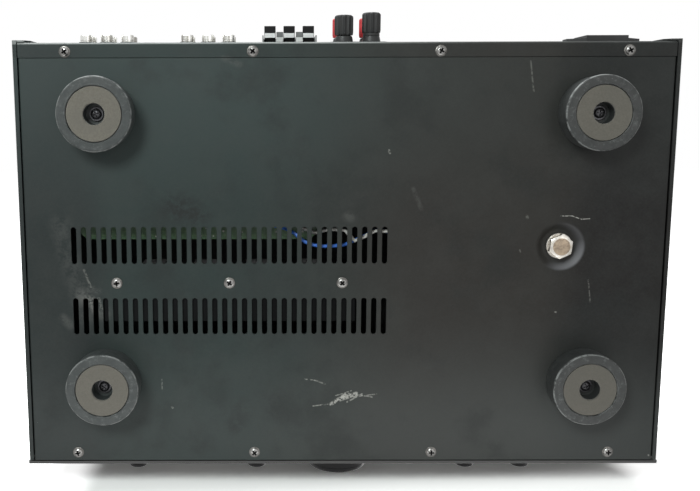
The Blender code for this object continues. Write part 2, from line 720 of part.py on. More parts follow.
def feet():
    """Four round feet, each with an inlaid disc and a screw at the bottom of its counterbore."""
    top = FOOT_HEIGHT - CLEARANCE
    hole = FOOT_SCREW_RADIUS + RUNNING_CLEARANCE
    pocket = INLAY_RADIUS + INLAY_GROOVE
    foot_profile = [
        (FOOT_TOP_RADIUS, top), (FOOT_RADIUS, FOOT_EDGE), (FOOT_RADIUS - FOOT_EDGE, 0), (pocket, 0),
        (pocket, INLAY_THICKNESS + CLEARANCE), (COUNTERBORE_RADIUS, INLAY_THICKNESS + CLEARANCE),
        (COUNTERBORE_RADIUS, COUNTERBORE_DEPTH), (hole, COUNTERBORE_DEPTH), (hole, top),
    ]
    inlay_profile = [
        (INLAY_RADIUS, INLAY_THICKNESS), (INLAY_RADIUS, INLAY_INSET),
        (COUNTERBORE_RADIUS + COUNTERBORE_CHAMFER, INLAY_INSET),
        (COUNTERBORE_RADIUS, INLAY_INSET + COUNTERBORE_CHAMFER), (COUNTERBORE_RADIUS, INLAY_THICKNESS),
    ]
    seat = COUNTERBORE_DEPTH - CLEARANCE
    head = seat - FOOT_SCREW_FLANGE
    end = PLATE_TOP_Z + FOOT_SCREW_ABOVE_PLATE
    crown = FOOT_SCREW_HEAD_RADIUS * FOOT_SCREW_CROWN_SHARE
    screw_profile = [
        (0, end), (FOOT_SCREW_RADIUS, end), (FOOT_SCREW_RADIUS, seat), (FOOT_SCREW_FLANGE_RADIUS, seat),
        (FOOT_SCREW_FLANGE_RADIUS, head), (FOOT_SCREW_HEAD_RADIUS, head),
        (crown, head - FOOT_SCREW_HEAD), (0, head - FOOT_SCREW_HEAD),
    ]
    for corner, centre in foot_centres().items():
        turned("foot_" + corner, foot_profile, centre, UPRIGHT, 20, RUBBER, closed=True)
        turned("foot_inlay_" + corner, inlay_profile, centre, UPRIGHT, 20, INLAY_GREY, closed=True)
        turned("foot_screw_" + corner, screw_profile, centre, UPRIGHT, 8, BLACK_PLASTIC)


def transformer():
    """The toroidal transformer, the bolt through it and the dished clamp plate on top."""
    x, y = TRANSFORMER_X, FRONT_Y + TRANSFORMER_INSET
    low = PLATE_TOP_Z + CLEARANCE
    high = low + TRANSFORMER_HEIGHT
    soft = TRANSFORMER_ROUNDING
    ring = arc((TRANSFORMER_RADIUS - soft, high - soft), soft, 90, 0, 2)
    ring += arc((TRANSFORMER_RADIUS - soft, low + soft), soft, 0, -90, 2)
    ring += arc((TRANSFORMER_BORE_RADIUS + soft, low + soft), soft, -90, -180, 1)
    ring += arc((TRANSFORMER_BORE_RADIUS + soft, high - soft), soft, 180, 90, 1)
    turned("transformer", ring, (x, y, 0), UPRIGHT, 18, COPPER_TAPE, closed=True)
    seat = high + CLEARANCE
    hole = BOLT_RADIUS + RUNNING_CLEARANCE
    washer = seat - CLAMP_DISH + CLAMP_SHEET
    clamp_profile = [
        (CLAMP_RADIUS, seat + CLAMP_SHEET), (CLAMP_RADIUS, seat), (TRANSFORMER_BORE_RADIUS + soft, seat),
        (TRANSFORMER_BORE_RADIUS, seat - CLAMP_DISH), (hole, seat - CLAMP_DISH), (hole, washer),
        (TRANSFORMER_BORE_RADIUS - CLAMP_SHEET, washer),
        (TRANSFORMER_BORE_RADIUS + soft - CLAMP_SHEET, seat + CLAMP_SHEET),
    ]
    turned("transformer_clamp", clamp_profile, (x, y, 0), UPRIGHT, 14, BARE_STEEL, closed=True)
    under = FOOT_HEIGHT + DISH_DEPTH - CLEARANCE
    flange_low = under - BOLT_FLANGE
    end = washer + BOLT_END_ABOVE_WASHER
    nut_low = washer + CLEARANCE
    nut_high = nut_low + BOLT_HEAD
    shank = [
        (0, end), (BOLT_RADIUS, end), (BOLT_RADIUS, under), (BOLT_FLANGE_RADIUS, under),
        (BOLT_FLANGE_RADIUS, flange_low), (0, flange_low),
    ]
    bolt = turned("transformer_bolt", shank, (x, y, 0), UPRIGHT, 14, BARE_STEEL)
    corner_radius = BOLT_HEAD_ACROSS_FLATS / 2 / math.cos(math.pi / 6)
    head = rods("bolt_head", [(x, y, 0)], corner_radius, flange_low - BOLT_HEAD,
                flange_low + BOLT_FLANGE / 2, UPRIGHT, 6)
    nut = rods("bolt_nut", [(x, y, 0)], corner_radius, nut_low, nut_high, UPRIGHT, 6)
    add(bolt, head, nut)


def heat_sink():
    """The finned heat sink on the bottom plate, with its screws and four power transistors."""
    left = SLOT_FIELD_X - HEAT_SINK_LENGTH / 2
    back = HEAT_SINK_SCREW_Y + HEAT_SINK_BASE / 2
    root = back - HEAT_SINK_BASE
    tip = back - HEAT_SINK_DEPTH
    pitch = (HEAT_SINK_LENGTH - FIN_THICKNESS) / (FIN_COUNT - 1)
    low = PLATE_TOP_Z + CLEARANCE
    high = low + HEAT_SINK_HEIGHT
    sink = box("heat_sink", (left, tip, low), (left + HEAT_SINK_LENGTH, back, high), ALUMINIUM)
    gaps = box("fin_gaps", (left + FIN_THICKNESS, tip - OVERRUN, low - OVERRUN),
               (left + pitch, root, high + OVERRUN))
    cut(sink, repeat(gaps, FIN_COUNT - 1, (pitch, 0, 0)))
    holes = rods("heat_sink_threads", heat_sink_screw_centres(0),
                 HEAT_SINK_SCREW_RADIUS + RUNNING_CLEARANCE, low - OVERRUN,
                 low + HEAT_SINK_SCREW_DEPTH + CLEARANCE, UPRIGHT, 10)
    cut(sink, holes)
    seat = FOOT_HEIGHT - CLEARANCE
    end = low + HEAT_SINK_SCREW_DEPTH
    screw_profile = [
        (0, end), (HEAT_SINK_SCREW_RADIUS, end), (HEAT_SINK_SCREW_RADIUS, seat), (SMALL_HEAD_RADIUS, seat),
        (SMALL_HEAD_RADIUS, seat - SMALL_HEAD_HEIGHT / 2),
        (SMALL_HEAD_RADIUS / 2, seat - SMALL_HEAD_HEIGHT), (0, seat - SMALL_HEAD_HEIGHT),
    ]
    for number, centre in enumerate(heat_sink_screw_centres(0), 1):
        turned("heat_sink_screw_%d" % number, screw_profile, centre, UPRIGHT, 8, BARE_STEEL)
    half = TRANSISTOR_WIDTH / 2
    foot = low + TRANSISTOR_LIFT
    top = foot + TRANSISTOR_HEIGHT
    for number in range(TRANSISTOR_COUNT):
        x = SLOT_FIELD_X + (number - (TRANSISTOR_COUNT - 1) / 2) * TRANSISTOR_PITCH
        shape = [(x - half, foot), (x + half, foot), (x + half, top - TRANSISTOR_CHAMFER),
                 (x + half - TRANSISTOR_CHAMFER, top), (x - half + TRANSISTOR_CHAMFER, top),
                 (x - half, top - TRANSISTOR_CHAMFER)]
        screw_hole = arc((x, top - half), HEAT_SINK_SCREW_RADIUS, 0, 315, 7)
        extruded("power_transistor_%d" % (number + 1), [shape, screw_hole], "XZ", back + CLEARANCE,
                 back + CLEARANCE + TRANSISTOR_THICKNESS, BLACK_PLASTIC)


def chamfered(left, right, low, high, corner):
    """A rectangle with cut corners."""
    return [(left + corner, low), (right - corner, low), (right, low + corner), (right, high - corner),
            (right - corner, high), (left + corner, high), (left, high - corner), (left, low + corner)]


def circuit_boards():
    """The main board behind the heat sink with two capacitors, and the control board at the front."""
    front = FRONT_Y + MAIN_BOARD_FRONT_INSET
    back = REAR_FACE_Y - SHEET - CLEARANCE
    outline = chamfered(MAIN_BOARD_LEFT, MAIN_BOARD_RIGHT, front, back, BOARD_CORNER)
    extruded("main_board", [outline], "XY", BOARD_Z, BOARD_TOP_Z, BOARD_GREEN)
    low = BOARD_TOP_Z + CLEARANCE
    top = low + CAPACITOR_HEIGHT
    groove = CAPACITOR_GROOVE
    neck = CAPACITOR_RADIUS - groove
    can = [(0, top - groove), (neck - groove, top - groove), (neck, top), (CAPACITOR_RADIUS, top - groove),
           (CAPACITOR_RADIUS, low + groove * 3), (neck, low + groove * 2),
           (CAPACITOR_RADIUS, low + groove), (neck, low), (0, low)]
    for number, sign in ((1, -1), (2, 1)):
        centre = (CAPACITOR_X + sign * CAPACITOR_PITCH / 2, FRONT_Y + CAPACITOR_INSET, 0)
        turned("reservoir_capacitor_%d" % number, can, centre, UPRIGHT, 12, BLACK_PLASTIC)
    left = BASS_X - VOLUME_POT_RADIUS
    right = SELECTOR_X + VOLUME_POT_RADIUS
    low = FOOT_HEIGHT + SMALL_KNOB_HEIGHT - VOLUME_POT_RADIUS
    outline = chamfered(left, right, low, low + CONTROL_BOARD_DEPTH, BOARD_CORNER)
    face = BRACKET_Y + SHEET + CLEARANCE + POT_LENGTH + CLEARANCE
    extruded("control_board", [outline], "XZ", face, face + BOARD_THICKNESS, BOARD_GREEN)


def control_places():
    """Each rotary control: its x, its height above the plate and whether it is the large one."""
    return {
        "bass": (BASS_X, SMALL_KNOB_HEIGHT, False),
        "treble": (TREBLE_X, SMALL_KNOB_HEIGHT, False),
        "volume": (0, VOLUME_HEIGHT, True),
        "balance": (BALANCE_X, SMALL_KNOB_HEIGHT, False),
        "selector": (SELECTOR_X, SMALL_KNOB_HEIGHT, False),
    }


def front_panel():
    """The thick front panel, rounded on its front edges and ends, with its openings."""
    half = HALF_WIDTH + PANEL_OVERHANG
    shape = bmesh.new()
    bmesh.ops.create_cube(shape, size=1.0)
    size = Vector((half * 2, PANEL_THICKNESS, BODY_HEIGHT))
    middle = Vector((0, (PANEL_BACK_Y + PANEL_FACE_Y) / 2, FOOT_HEIGHT + PANEL_RISE + BODY_HEIGHT / 2))
    stretch = Matrix.Translation(middle) @ Matrix.Diagonal((*size, 1.0))
    bmesh.ops.transform(shape, matrix=stretch, verts=shape.verts)
    middle_y = middle.y
    front_edges = [edge for edge in shape.edges if min(v.co.y for v in edge.verts) < middle_y]
    bmesh.ops.bevel(shape, geom=front_edges, offset=PANEL_ROUNDING, segments=3, profile=0.5,
                    affect="EDGES")
    panel = from_bmesh("front_panel", shape, BLACK_STEEL)
    centres = [(x, PANEL_BACK_Y, FOOT_HEIGHT + height) for x, height, large in control_places().values()]
    through = PANEL_THICKNESS + OVERRUN
    bushes = rods("panel_bush_holes", centres, BUSH_RADIUS + CLEARANCE * 2, -OVERRUN, through, FACE_FRONT, 8)
    middle_z = FOOT_HEIGHT + SMALL_KNOB_HEIGHT
    socket = rods("panel_socket_hole", [(SOCKET_X, PANEL_BACK_Y, middle_z)],
                  SOCKET_NOSE_RADIUS + CLEARANCE, -OVERRUN, through, FACE_FRONT, 8)
    button = box("panel_button_hole",
                 (BUTTON_X - BUTTON_WIDTH / 2 - RUNNING_CLEARANCE, PANEL_FACE_Y - OVERRUN,
                  middle_z - BUTTON_HEIGHT / 2 - RUNNING_CLEARANCE),
                 (BUTTON_X + BUTTON_WIDTH / 2 + RUNNING_CLEARANCE, PANEL_BACK_Y + OVERRUN,
                  middle_z + BUTTON_HEIGHT / 2 + RUNNING_CLEARANCE))
    return cut(panel, bushes, socket, button)


def front_bracket():
    """The folded sub-panel that carries the controls behind the front panel."""
    low = PLATE_TOP_Z + CLEARANCE
    high = TOP_Z - SHEET - CLEARANCE
    back = BRACKET_Y + BRACKET_FLANGE
    corners = [(back, high), (BRACKET_Y, high), (BRACKET_Y, low), (back, low)]
    half = PLATE_HALF - SHEET - CLEARANCE
    path = rounded_path(corners, BRACKET_BEND, 2)
    bracket = bent_sheet("front_bracket", path, "YZ", -half, half, BARE_STEEL)
    centres = [(x, BRACKET_Y, FOOT_HEIGHT + height) for x, height, large in control_places().values()]
    bushes = rods("bracket_bush_holes", centres, BUSH_RADIUS + CLEARANCE * 2, -SHEET - OVERRUN, OVERRUN,
                  FACE_FRONT, 8)
    middle_z = FOOT_HEIGHT + SMALL_KNOB_HEIGHT
    socket = rods("bracket_socket_hole", [(SOCKET_X, BRACKET_Y, middle_z)],
                  SOCKET_NOSE_RADIUS + CLEARANCE, -SHEET - OVERRUN, OVERRUN, FACE_FRONT, 8)
    stem_gap = BUTTON_STEM / 2 + RUNNING_CLEARANCE
    stem = box("bracket_stem_hole", (BUTTON_X - stem_gap, BRACKET_Y - OVERRUN, middle_z - stem_gap),
               (BUTTON_X + stem_gap, BRACKET_Y + SHEET + OVERRUN, middle_z + stem_gap))
    return cut(bracket, bushes, socket, stem)


def knob_profile(radius, edge, reach):
    """A knob with a rounded front edge and the shaft that it turns on, from its face back."""
    face = reach - (FRONT_Y - PANEL_FACE_Y)
    shaft_end = PANEL_FACE_Y - BRACKET_Y - SHEET - POT_BORE_DEPTH + RUNNING_CLEARANCE
    profile = [(0, face), (radius - edge, face)]
    profile += arc((radius - edge, face - edge), edge, 90, 0, 2)[1:]
    profile += [(radius, KNOB_BACK_GAP), (SHAFT_RADIUS, KNOB_BACK_GAP), (SHAFT_RADIUS, shaft_end),
                (0, shaft_end)]
    return profile, face


def rotary_controls():
    """Each potentiometer or switch behind the bracket, and its knob on the same axis."""
    seat = -SHEET - CLEARANCE
    for name, (x, height, large) in control_places().items():
        bore = SHAFT_RADIUS + CLEARANCE
        body = VOLUME_POT_RADIUS if large else POT_RADIUS
        centre = (x, BRACKET_Y, FOOT_HEIGHT + height)
        pot_profile = [
            (0, -SHEET - POT_BORE_DEPTH - CLEARANCE), (bore, -SHEET - POT_BORE_DEPTH - CLEARANCE),
            (bore, BUSH_LENGTH), (BUSH_RADIUS, BUSH_LENGTH), (BUSH_RADIUS, seat), (body, seat),
            (body, seat - POT_LENGTH), (0, seat - POT_LENGTH),
        ]
        turned(name + "_pot", pot_profile, centre, FACE_FRONT, 8, BARE_STEEL)
        radius, edge, reach = (SMALL_KNOB_RADIUS, SMALL_KNOB_EDGE, SMALL_KNOB_REACH)
        if large:
            radius, edge, reach = (VOLUME_RADIUS, VOLUME_EDGE, KNOB_REACH)
        profile, face = knob_profile(radius, edge, reach)
        knob = turned(name + "_knob", profile, (x, PANEL_FACE_Y, FOOT_HEIGHT + height), FACE_FRONT,
                      28 if large else 16, BLACK_PLASTIC)
        pointer = box(name + "_pointer", (-POINTER_WIDTH / 2, -OVERRUN, radius / 2),
                      (POINTER_WIDTH / 2, POINTER_DEPTH, radius + OVERRUN))
        pointer.location = (x, PANEL_FACE_Y - face, FOOT_HEIGHT + height)
        cut(knob, pointer)


def power_control():
    """The push button with its stem, and the mains switch that the stem goes into."""
    middle_z = FOOT_HEIGHT + SMALL_KNOB_HEIGHT
    face = PANEL_FACE_Y - BUTTON_REACH + PANEL_THICKNESS
    button = box("power_button", (-BUTTON_WIDTH / 2, face - PANEL_BACK_Y, -BUTTON_HEIGHT / 2),
                 (BUTTON_WIDTH / 2, -BUTTON_TRAVEL / 2, BUTTON_HEIGHT / 2), BLACK_PLASTIC,
                 BUTTON_ROUNDING, 2)
    button.location = (BUTTON_X, PANEL_BACK_Y, middle_z)
    switch_front = BRACKET_Y + SHEET + CLEARANCE
    stem_end = switch_front + SWITCH_POCKET - BUTTON_TRAVEL - RUNNING_CLEARANCE
    stem = box("button_stem", (-BUTTON_STEM / 2, -BUTTON_TRAVEL, -BUTTON_STEM / 2),
               (BUTTON_STEM / 2, stem_end - PANEL_BACK_Y, BUTTON_STEM / 2))
    stem.location = button.location
    add(button, stem)
    half = SWITCH_WIDTH / 2
    tall = SWITCH_HEIGHT / 2
    switch = box("power_switch", (BUTTON_X - half, switch_front, middle_z - tall),
                 (BUTTON_X + half, switch_front + SWITCH_LENGTH, middle_z + tall), BLACK_PLASTIC)
    gap = BUTTON_STEM / 2 + RUNNING_CLEARANCE
    pocket = box("switch_pocket", (BUTTON_X - gap, switch_front - OVERRUN, middle_z - gap),
                 (BUTTON_X + gap, switch_front + SWITCH_POCKET, middle_z + gap))
    cut(switch, pocket)


def headphone_socket():
    """The headphone socket: a rimmed nose through the panel, its round bore, and its hollow body."""
    middle_z = FOOT_HEIGHT + SMALL_KNOB_HEIGHT
    seat = BRACKET_Y + SHEET + CLEARANCE
    half = SOCKET_BODY_WIDTH / 2
    body = box("headphone_socket", (SOCKET_X - half, seat, middle_z - half),
               (SOCKET_X + half, seat + SOCKET_BODY_LENGTH, middle_z + half), BLACK_PLASTIC)
    rim = CLEARANCE + SOCKET_RIM
    back = PANEL_FACE_Y - seat - SHEET
    nose_profile = [
        (0, rim), (SOCKET_RIM_RADIUS - SOCKET_RIM / 2, rim), (SOCKET_RIM_RADIUS, rim - SOCKET_RIM / 2),
        (SOCKET_RIM_RADIUS, CLEARANCE), (SOCKET_NOSE_RADIUS, CLEARANCE), (SOCKET_NOSE_RADIUS, back),
        (0, back),
    ]
    nose = turned("socket_nose", nose_profile, (SOCKET_X, PANEL_FACE_Y, middle_z), FACE_FRONT, 8)
    cavity_front = seat + SOCKET_FACE_WALL
    bore = rods("socket_bore", [(SOCKET_X, PANEL_FACE_Y, middle_z)], SOCKET_BORE_RADIUS,
                PANEL_FACE_Y - cavity_front - OVERRUN, OVERRUN, FACE_FRONT, 8)
    cavity = box("socket_cavity", (SOCKET_X - SOCKET_CAVITY / 2, cavity_front, middle_z - SOCKET_CAVITY / 2),
                 (SOCKET_X + SOCKET_CAVITY / 2, PANEL_FACE_Y + SOCKET_DEPTH, middle_z + SOCKET_CAVITY / 2))
    cut(add(body, nose), add(bore, cavity))


def input_jacks():
    """Two moulded blocks of six phono jacks, whose barrels pass through the rear panel."""
    for number, group_x in enumerate(JACK_GROUP_XS, 1):
        half = JACK_PITCH * (JACK_COLUMNS - 1) / 2 + JACK_BLOCK_MARGIN
        face = REAR_FACE_Y - SHEET - CLEARANCE
        low = BOARD_TOP_Z + CLEARANCE
        high = FOOT_HEIGHT + JACK_LOW_HEIGHT + JACK_PITCH * (JACK_ROWS - 1) + JACK_BLOCK_MARGIN
        block = box("input_jacks_%d" % number, (group_x - half, face - JACK_BLOCK_DEPTH, low),
                    (group_x + half, face, high), BLACK_PLASTIC)
        centres = jack_centres(group_x, REAR_Y)
        inside = face - JACK_BLOCK_DEPTH / 2 - REAR_Y
        collars = rods("jack_collars_%d" % number, centres, JACK_COLLAR_RADIUS, inside,
                       REAR_FACE_Y - REAR_Y + JACK_COLLAR, FACE_REAR, 8)
        barrels = rods("jack_barrels_%d" % number, centres, JACK_RADIUS, inside, JACK_REACH, FACE_REAR, 8)
        holes = rods("jack_pins_%d" % number, centres, JACK_HOLE_RADIUS, JACK_REACH - JACK_HOLE_DEPTH,
                     JACK_REACH + OVERRUN, FACE_REAR, 5)
        cut(add(block, collars, barrels), holes)


def push_terminals():
    """The push-lever terminal block and its three levers, each on its own hinge line."""
    low = FOOT_HEIGHT + PUSH_LOW_HEIGHT
    high = low + PUSH_TALL
    half = PUSH_WIDTH / 2
    block = box("push_terminal_block", (PUSH_X - half, REAR_FACE_Y + CLEARANCE, low),
                (PUSH_X + half, PUSH_FRONT_Y, high), GREY_PLASTIC)
    shoulder = PUSH_SHOULDER
    inner = box("push_inner_body", (PUSH_X - half, REAR_FACE_Y - PUSH_INNER_DEPTH, low + shoulder),
                (PUSH_X + half, REAR_FACE_Y + SHEET, high - shoulder))
    add(block, inner)
    lever_half = LEVER_WIDTH / 2
    channel_half = lever_half + LEVER_SIDE_GAP
    first = PUSH_X - LEVER_PITCH * (LEVER_COUNT - 1) / 2
    floor = PUSH_FRONT_Y - PUSH_CHANNEL_DEPTH
    roof = high - shoulder * 2
    channels = box("push_channels", (first - channel_half, floor, low + shoulder * 2),
                   (first + channel_half, PUSH_FRONT_Y + OVERRUN, roof))
    mouths = box("push_mouths", (first - channel_half, REAR_FACE_Y + shoulder, low - OVERRUN),
                 (first + channel_half, PUSH_FRONT_Y + OVERRUN, low + shoulder * 3))
    for cutter in (channels, mouths):
        repeat(cutter, LEVER_COUNT, (LEVER_PITCH, 0, 0))
    cut(block, channels, mouths)
    pivot_y = PUSH_FRONT_Y - LEVER_PIVOT_RADIUS * 2
    pivot_z = roof - LEVER_PIVOT_RADIUS - RUNNING_CLEARANCE
    thick = LEVER_ARM_THICKNESS
    reach = REAR_Y + LEVER_TAB_REACH - pivot_y
    tab_top = LEVER_TAB_THICKNESS - LEVER_ARM
    side = [
        *arc((0, 0), LEVER_PIVOT_RADIUS, 0, 180, 6), (thick / 2 - LEVER_PIVOT_RADIUS, -thick),
        (thick / 2 - LEVER_PIVOT_RADIUS, -LEVER_ARM), (reach, -LEVER_ARM), (reach, tab_top),
        (LEVER_PIVOT_RADIUS + thick / 2, tab_top + thick), (LEVER_PIVOT_RADIUS, -thick),
    ]
    for number in range(LEVER_COUNT):
        lever = extruded("push_lever_%d" % (number + 1), [side], "YZ", -lever_half, lever_half,
                         BLACK_PLASTIC)
        lever.location = (first + number * LEVER_PITCH, pivot_y, pivot_z)


def fluted_outline(radius, depth, flutes):
    """A round outline with shallow flutes, two points to each."""
    points = []
    total = flutes * 2
    for index in range(total):
        angle = math.tau * index / total
        dip = depth if index % 2 else 0
        points.append(((radius - dip) * math.cos(angle), (radius - dip) * math.sin(angle)))
    return points


def speaker_posts():
    """The four-post terminal base and its four fluted screw caps."""
    xs = [centre[0] for centre in post_centres().values()]
    zs = [centre[2] for centre in post_centres().values()]
    margin = POST_BASE_MARGIN
    outline = chamfered(min(xs) - margin, max(xs) + margin, min(zs) - margin, max(zs) + margin,
                        margin / 4)
    base = extruded("speaker_post_base", [outline], "XZ", REAR_FACE_Y + CLEARANCE, REAR_Y + CLEARANCE,
                    BLACK_PLASTIC)
    start = -SHEET - CLEARANCE
    stud_end = CAP_SEAT + STUD_IN_CAP
    root = COLLAR_TOP_RADIUS - CLEARANCE
    collar_profile = [
        (0, stud_end), (STUD_RADIUS, stud_end), (STUD_RADIUS, COLLAR_LENGTH),
        (COLLAR_TOP_RADIUS, COLLAR_LENGTH), (COLLAR_RADIUS, COLLAR_LENGTH / 2), (COLLAR_RADIUS, SHEET),
        (root, SHEET), (root, start), (0, start),
    ]
    for name, centre in post_centres().items():
        add(base, turned("post_" + name, collar_profile, centre, FACE_REAR, 8))
    for name, centre in post_centres().items():
        finish = RED_PLASTIC if name.startswith("red") else BLACK_PLASTIC
        backed = CAP_BACKED_OFF if name == "black_left" else 0
        outline = fluted_outline(CAP_RADIUS, CAP_FLUTE_DEPTH, CAP_FLUTES)
        cap = extruded("post_cap_" + name, [outline], "XY", 0, CAP_LENGTH, finish)
        seat = Vector(centre) + Vector((0, CAP_SEAT + backed, 0))
        cap.matrix_world = Matrix.Translation(seat) @ FACE_REAR @ Matrix.Translation((0, 0, CAP_LENGTH / 2))
        dome = turned("cap_dome_" + name,
                      [(0, CAP_LENGTH + OVERRUN), (CAP_RADIUS + OVERRUN, CAP_LENGTH + OVERRUN),
                       (CAP_RADIUS + OVERRUN, CAP_LENGTH - CAP_ROUNDING - OVERRUN),
                       (CAP_RADIUS - CAP_ROUNDING, CAP_LENGTH), (0, CAP_LENGTH)], seat, FACE_REAR, 12)
        bore = rods("cap_bore_" + name, [seat], STUD_RADIUS + RUNNING_CLEARANCE, -OVERRUN,
                    STUD_IN_CAP + CLEARANCE, FACE_REAR, 10)
        cut(cap, dome, bore)


def mains_inlet():
    """The mains inlet: an eared flange, a raised mouth, a walled cavity and three pins."""
    z = FOOT_HEIGHT + INLET_HEIGHT
    ear = INLET_EAR_SPAN / 2
    half = INLET_BODY_WIDTH / 2
    tall = INLET_BODY_TALL / 2
    ear_tall = INLET_EAR_TALL / 2
    outline = [(INLET_X - half, z - tall), (INLET_X + half, z - tall), (INLET_X + ear, z - ear_tall),
               (INLET_X + ear, z + ear_tall), (INLET_X + half, z + tall), (INLET_X - half, z + tall),
               (INLET_X - ear, z + ear_tall), (INLET_X - ear, z - ear_tall)]
    face = REAR_FACE_Y + CLEARANCE + INLET_FLANGE
    inlet = extruded("mains_inlet", [outline], "XZ", REAR_FACE_Y + CLEARANCE, face, BLACK_PLASTIC)
    mouth = box("inlet_mouth", (INLET_X - half, REAR_FACE_Y + SHEET, z - tall),
                (INLET_X + half, face + INLET_RAISE, z + tall))
    wall = INLET_WALL
    shell_half = INLET_CAVITY_WIDTH / 2 + wall
    shell_tall = INLET_CAVITY_TALL / 2 + wall
    floor = face + INLET_RAISE - INLET_CAVITY_DEPTH
    shell = box("inlet_shell", (INLET_X - shell_half, floor - INLET_FLOOR, z - shell_tall),
                (INLET_X + shell_half, REAR_FACE_Y + SHEET * 2, z + shell_tall))
    hollow_half = INLET_CAVITY_WIDTH / 2
    hollow_tall = INLET_CAVITY_TALL / 2
    corner = INLET_CAVITY_CHAMFER
    left = INLET_X - hollow_half
    right = INLET_X + hollow_half
    low = z - hollow_tall
    high = z + hollow_tall
    cavity_outline = [(left + corner, low), (right - corner, low), (right, low + corner), (right, high),
                      (left, high), (left, low + corner)]
    cavity = extruded("inlet_cavity", [cavity_outline], "XZ", floor, face + INLET_RAISE + OVERRUN)
    cut(add(inlet, mouth, shell), cavity)
    for step in (-1, 0, 1):
        x = INLET_X + step * PIN_SPACING / 2
        low = z - PIN_TALL / 2 + (PIN_OFFSET / 2 if step else -PIN_OFFSET / 2)
        pin = box("inlet_pin_%d" % (step + 2), (x - PIN_WIDTH / 2, floor - INLET_FLOOR / 2, low),
                  (x + PIN_WIDTH / 2, face + INLET_RAISE - PIN_RECESS, low + PIN_TALL))
        add(inlet, pin)


def smooth_route(points, step):
    """Points about one step apart along a smooth curve through the route's own points."""
    route = [Vector(point) for point in points]
    ends = [route[0] * 2 - route[1], *route, route[-1] * 2 - route[-2]]
    path = []
    for before, here, there, after in zip(ends, ends[1:], ends[2:], ends[3:]):
        count = max(1, round((there - here).length / step))
        bend = 2 * before - 5 * here + 4 * there - after
        twist = 3 * here - before - 3 * there + after
        for index in range(count):
            t = index / count
            path.append((2 * here + (there - before) * t + bend * t ** 2 + twist * t ** 3) / 2)
    path.append(route[-1])
    return path


def lead(name, points, finish):
    """An insulated lead along its route."""
    curve = bpy.data.curves.new(name, "CURVE")
    curve.dimensions = "3D"
    curve.bevel_depth = LEAD_RADIUS
    curve.bevel_resolution = 1
    curve.use_fill_caps = True
    curve.render_resolution_u = 0
    path = smooth_route(points, LEAD_STEP)
    spline = curve.splines.new("POLY")
    spline.points.add(len(path) - 1)
    for point, place_at in zip(spline.points, path):
        point.co = (*place_at, 1)
    guide = bpy.data.objects.new(name + "_route", curve)
    bpy.context.scene.collection.objects.link(guide)
    return place(to_mesh(name, guide), finish)


def transformer_leads():
    """Two secondary leads from the transformer to the underside of the main board."""
    start_x = TRANSFORMER_X + TRANSFORMER_RADIUS + CLEARANCE * 3
    start = Vector((start_x, FRONT_Y + TRANSFORMER_INSET, PLATE_TOP_Z))
    under = BOARD_Z - LEAD_RADIUS - CLEARANCE
    runs = (
        ("transformer_lead_blue", MAIN_BOARD_LEFT + BLUE_LEAD_UNDER_BOARD, BLUE_LEAD_SHARES, BLUE_SLEEVE),
        ("transformer_lead_white", MAIN_BOARD_LEFT + WHITE_LEAD_UNDER_BOARD, WHITE_LEAD_SHARES, WHITE_SLEEVE),
    )
    for name, end, shares, finish in runs:
        size = Vector((end - start.x, SLOT_LENGTH, under - start.z))
        lead(name, [start + size * Vector(point) for point in shares], finish)


bottom_plate()
rear_panel()
top_cover()
front_panel()
front_bracket()
feet()
transformer()
heat_sink()
circuit_boards()
rotary_controls()
power_control()
headphone_socket()
input_jacks()
push_terminals()
speaker_posts()
mains_inlet()
transformer_leads()
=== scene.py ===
"""Looks of the full-width hi-fi amplifier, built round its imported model.

Everything is in metres in the model's own frame: the front faces -Y, the feet stand on z = 0.
The camera looks up at the underside, as in the photograph.
"""
import json
import math
import random

import bmesh
import bpy
from mathutils import Matrix, Vector


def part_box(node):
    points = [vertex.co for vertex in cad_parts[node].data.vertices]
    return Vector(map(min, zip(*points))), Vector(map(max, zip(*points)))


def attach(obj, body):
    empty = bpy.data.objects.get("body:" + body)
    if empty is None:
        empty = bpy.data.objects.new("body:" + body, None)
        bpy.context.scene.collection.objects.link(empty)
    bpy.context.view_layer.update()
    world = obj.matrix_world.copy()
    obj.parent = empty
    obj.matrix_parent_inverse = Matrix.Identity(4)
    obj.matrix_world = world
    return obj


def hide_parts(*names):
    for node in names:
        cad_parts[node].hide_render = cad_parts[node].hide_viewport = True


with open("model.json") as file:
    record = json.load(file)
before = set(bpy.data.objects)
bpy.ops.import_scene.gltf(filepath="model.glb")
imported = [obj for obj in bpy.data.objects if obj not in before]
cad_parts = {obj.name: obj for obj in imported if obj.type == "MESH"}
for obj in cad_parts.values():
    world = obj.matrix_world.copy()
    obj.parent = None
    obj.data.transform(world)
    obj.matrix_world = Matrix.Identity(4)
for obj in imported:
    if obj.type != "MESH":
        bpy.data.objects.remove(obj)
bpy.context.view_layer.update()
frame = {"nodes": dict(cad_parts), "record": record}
SLOTS = {entry["node"]: entry["material_slot"] for entry in frame["record"]["subparts"]}

# Sizes shared with the model
SHEET = 0.0012
GAP = 0.0003
SLACK = 0.0004
OVERRUN = 0.003
COVER_LOW, COVER_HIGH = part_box("top_cover")
PLATE_LOW, PLATE_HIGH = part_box("bottom_plate")
PANEL_LOW, PANEL_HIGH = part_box("front_panel")
FRONT_Y = COVER_LOW.y
REAR_Y = COVER_HIGH.y
HALF_WIDTH = COVER_HIGH.x
TOP_Z = COVER_HIGH.z
PLATE_Z = PLATE_LOW.z
PLATE_TOP_Z = PLATE_Z + SHEET
PLATE_HALF = PLATE_HIGH.x
REAR_FACE_Y = REAR_Y - SHEET - GAP
BRACKET_Y = FRONT_Y + SHEET + GAP
PANEL_FACE_Y = PANEL_LOW.y
PANEL_BACK_Y = PANEL_HIGH.y

# Broken edges
FINE_BREAK = 0.0002
BREAK = 0.0003
WIDE_BREAK = 0.0004

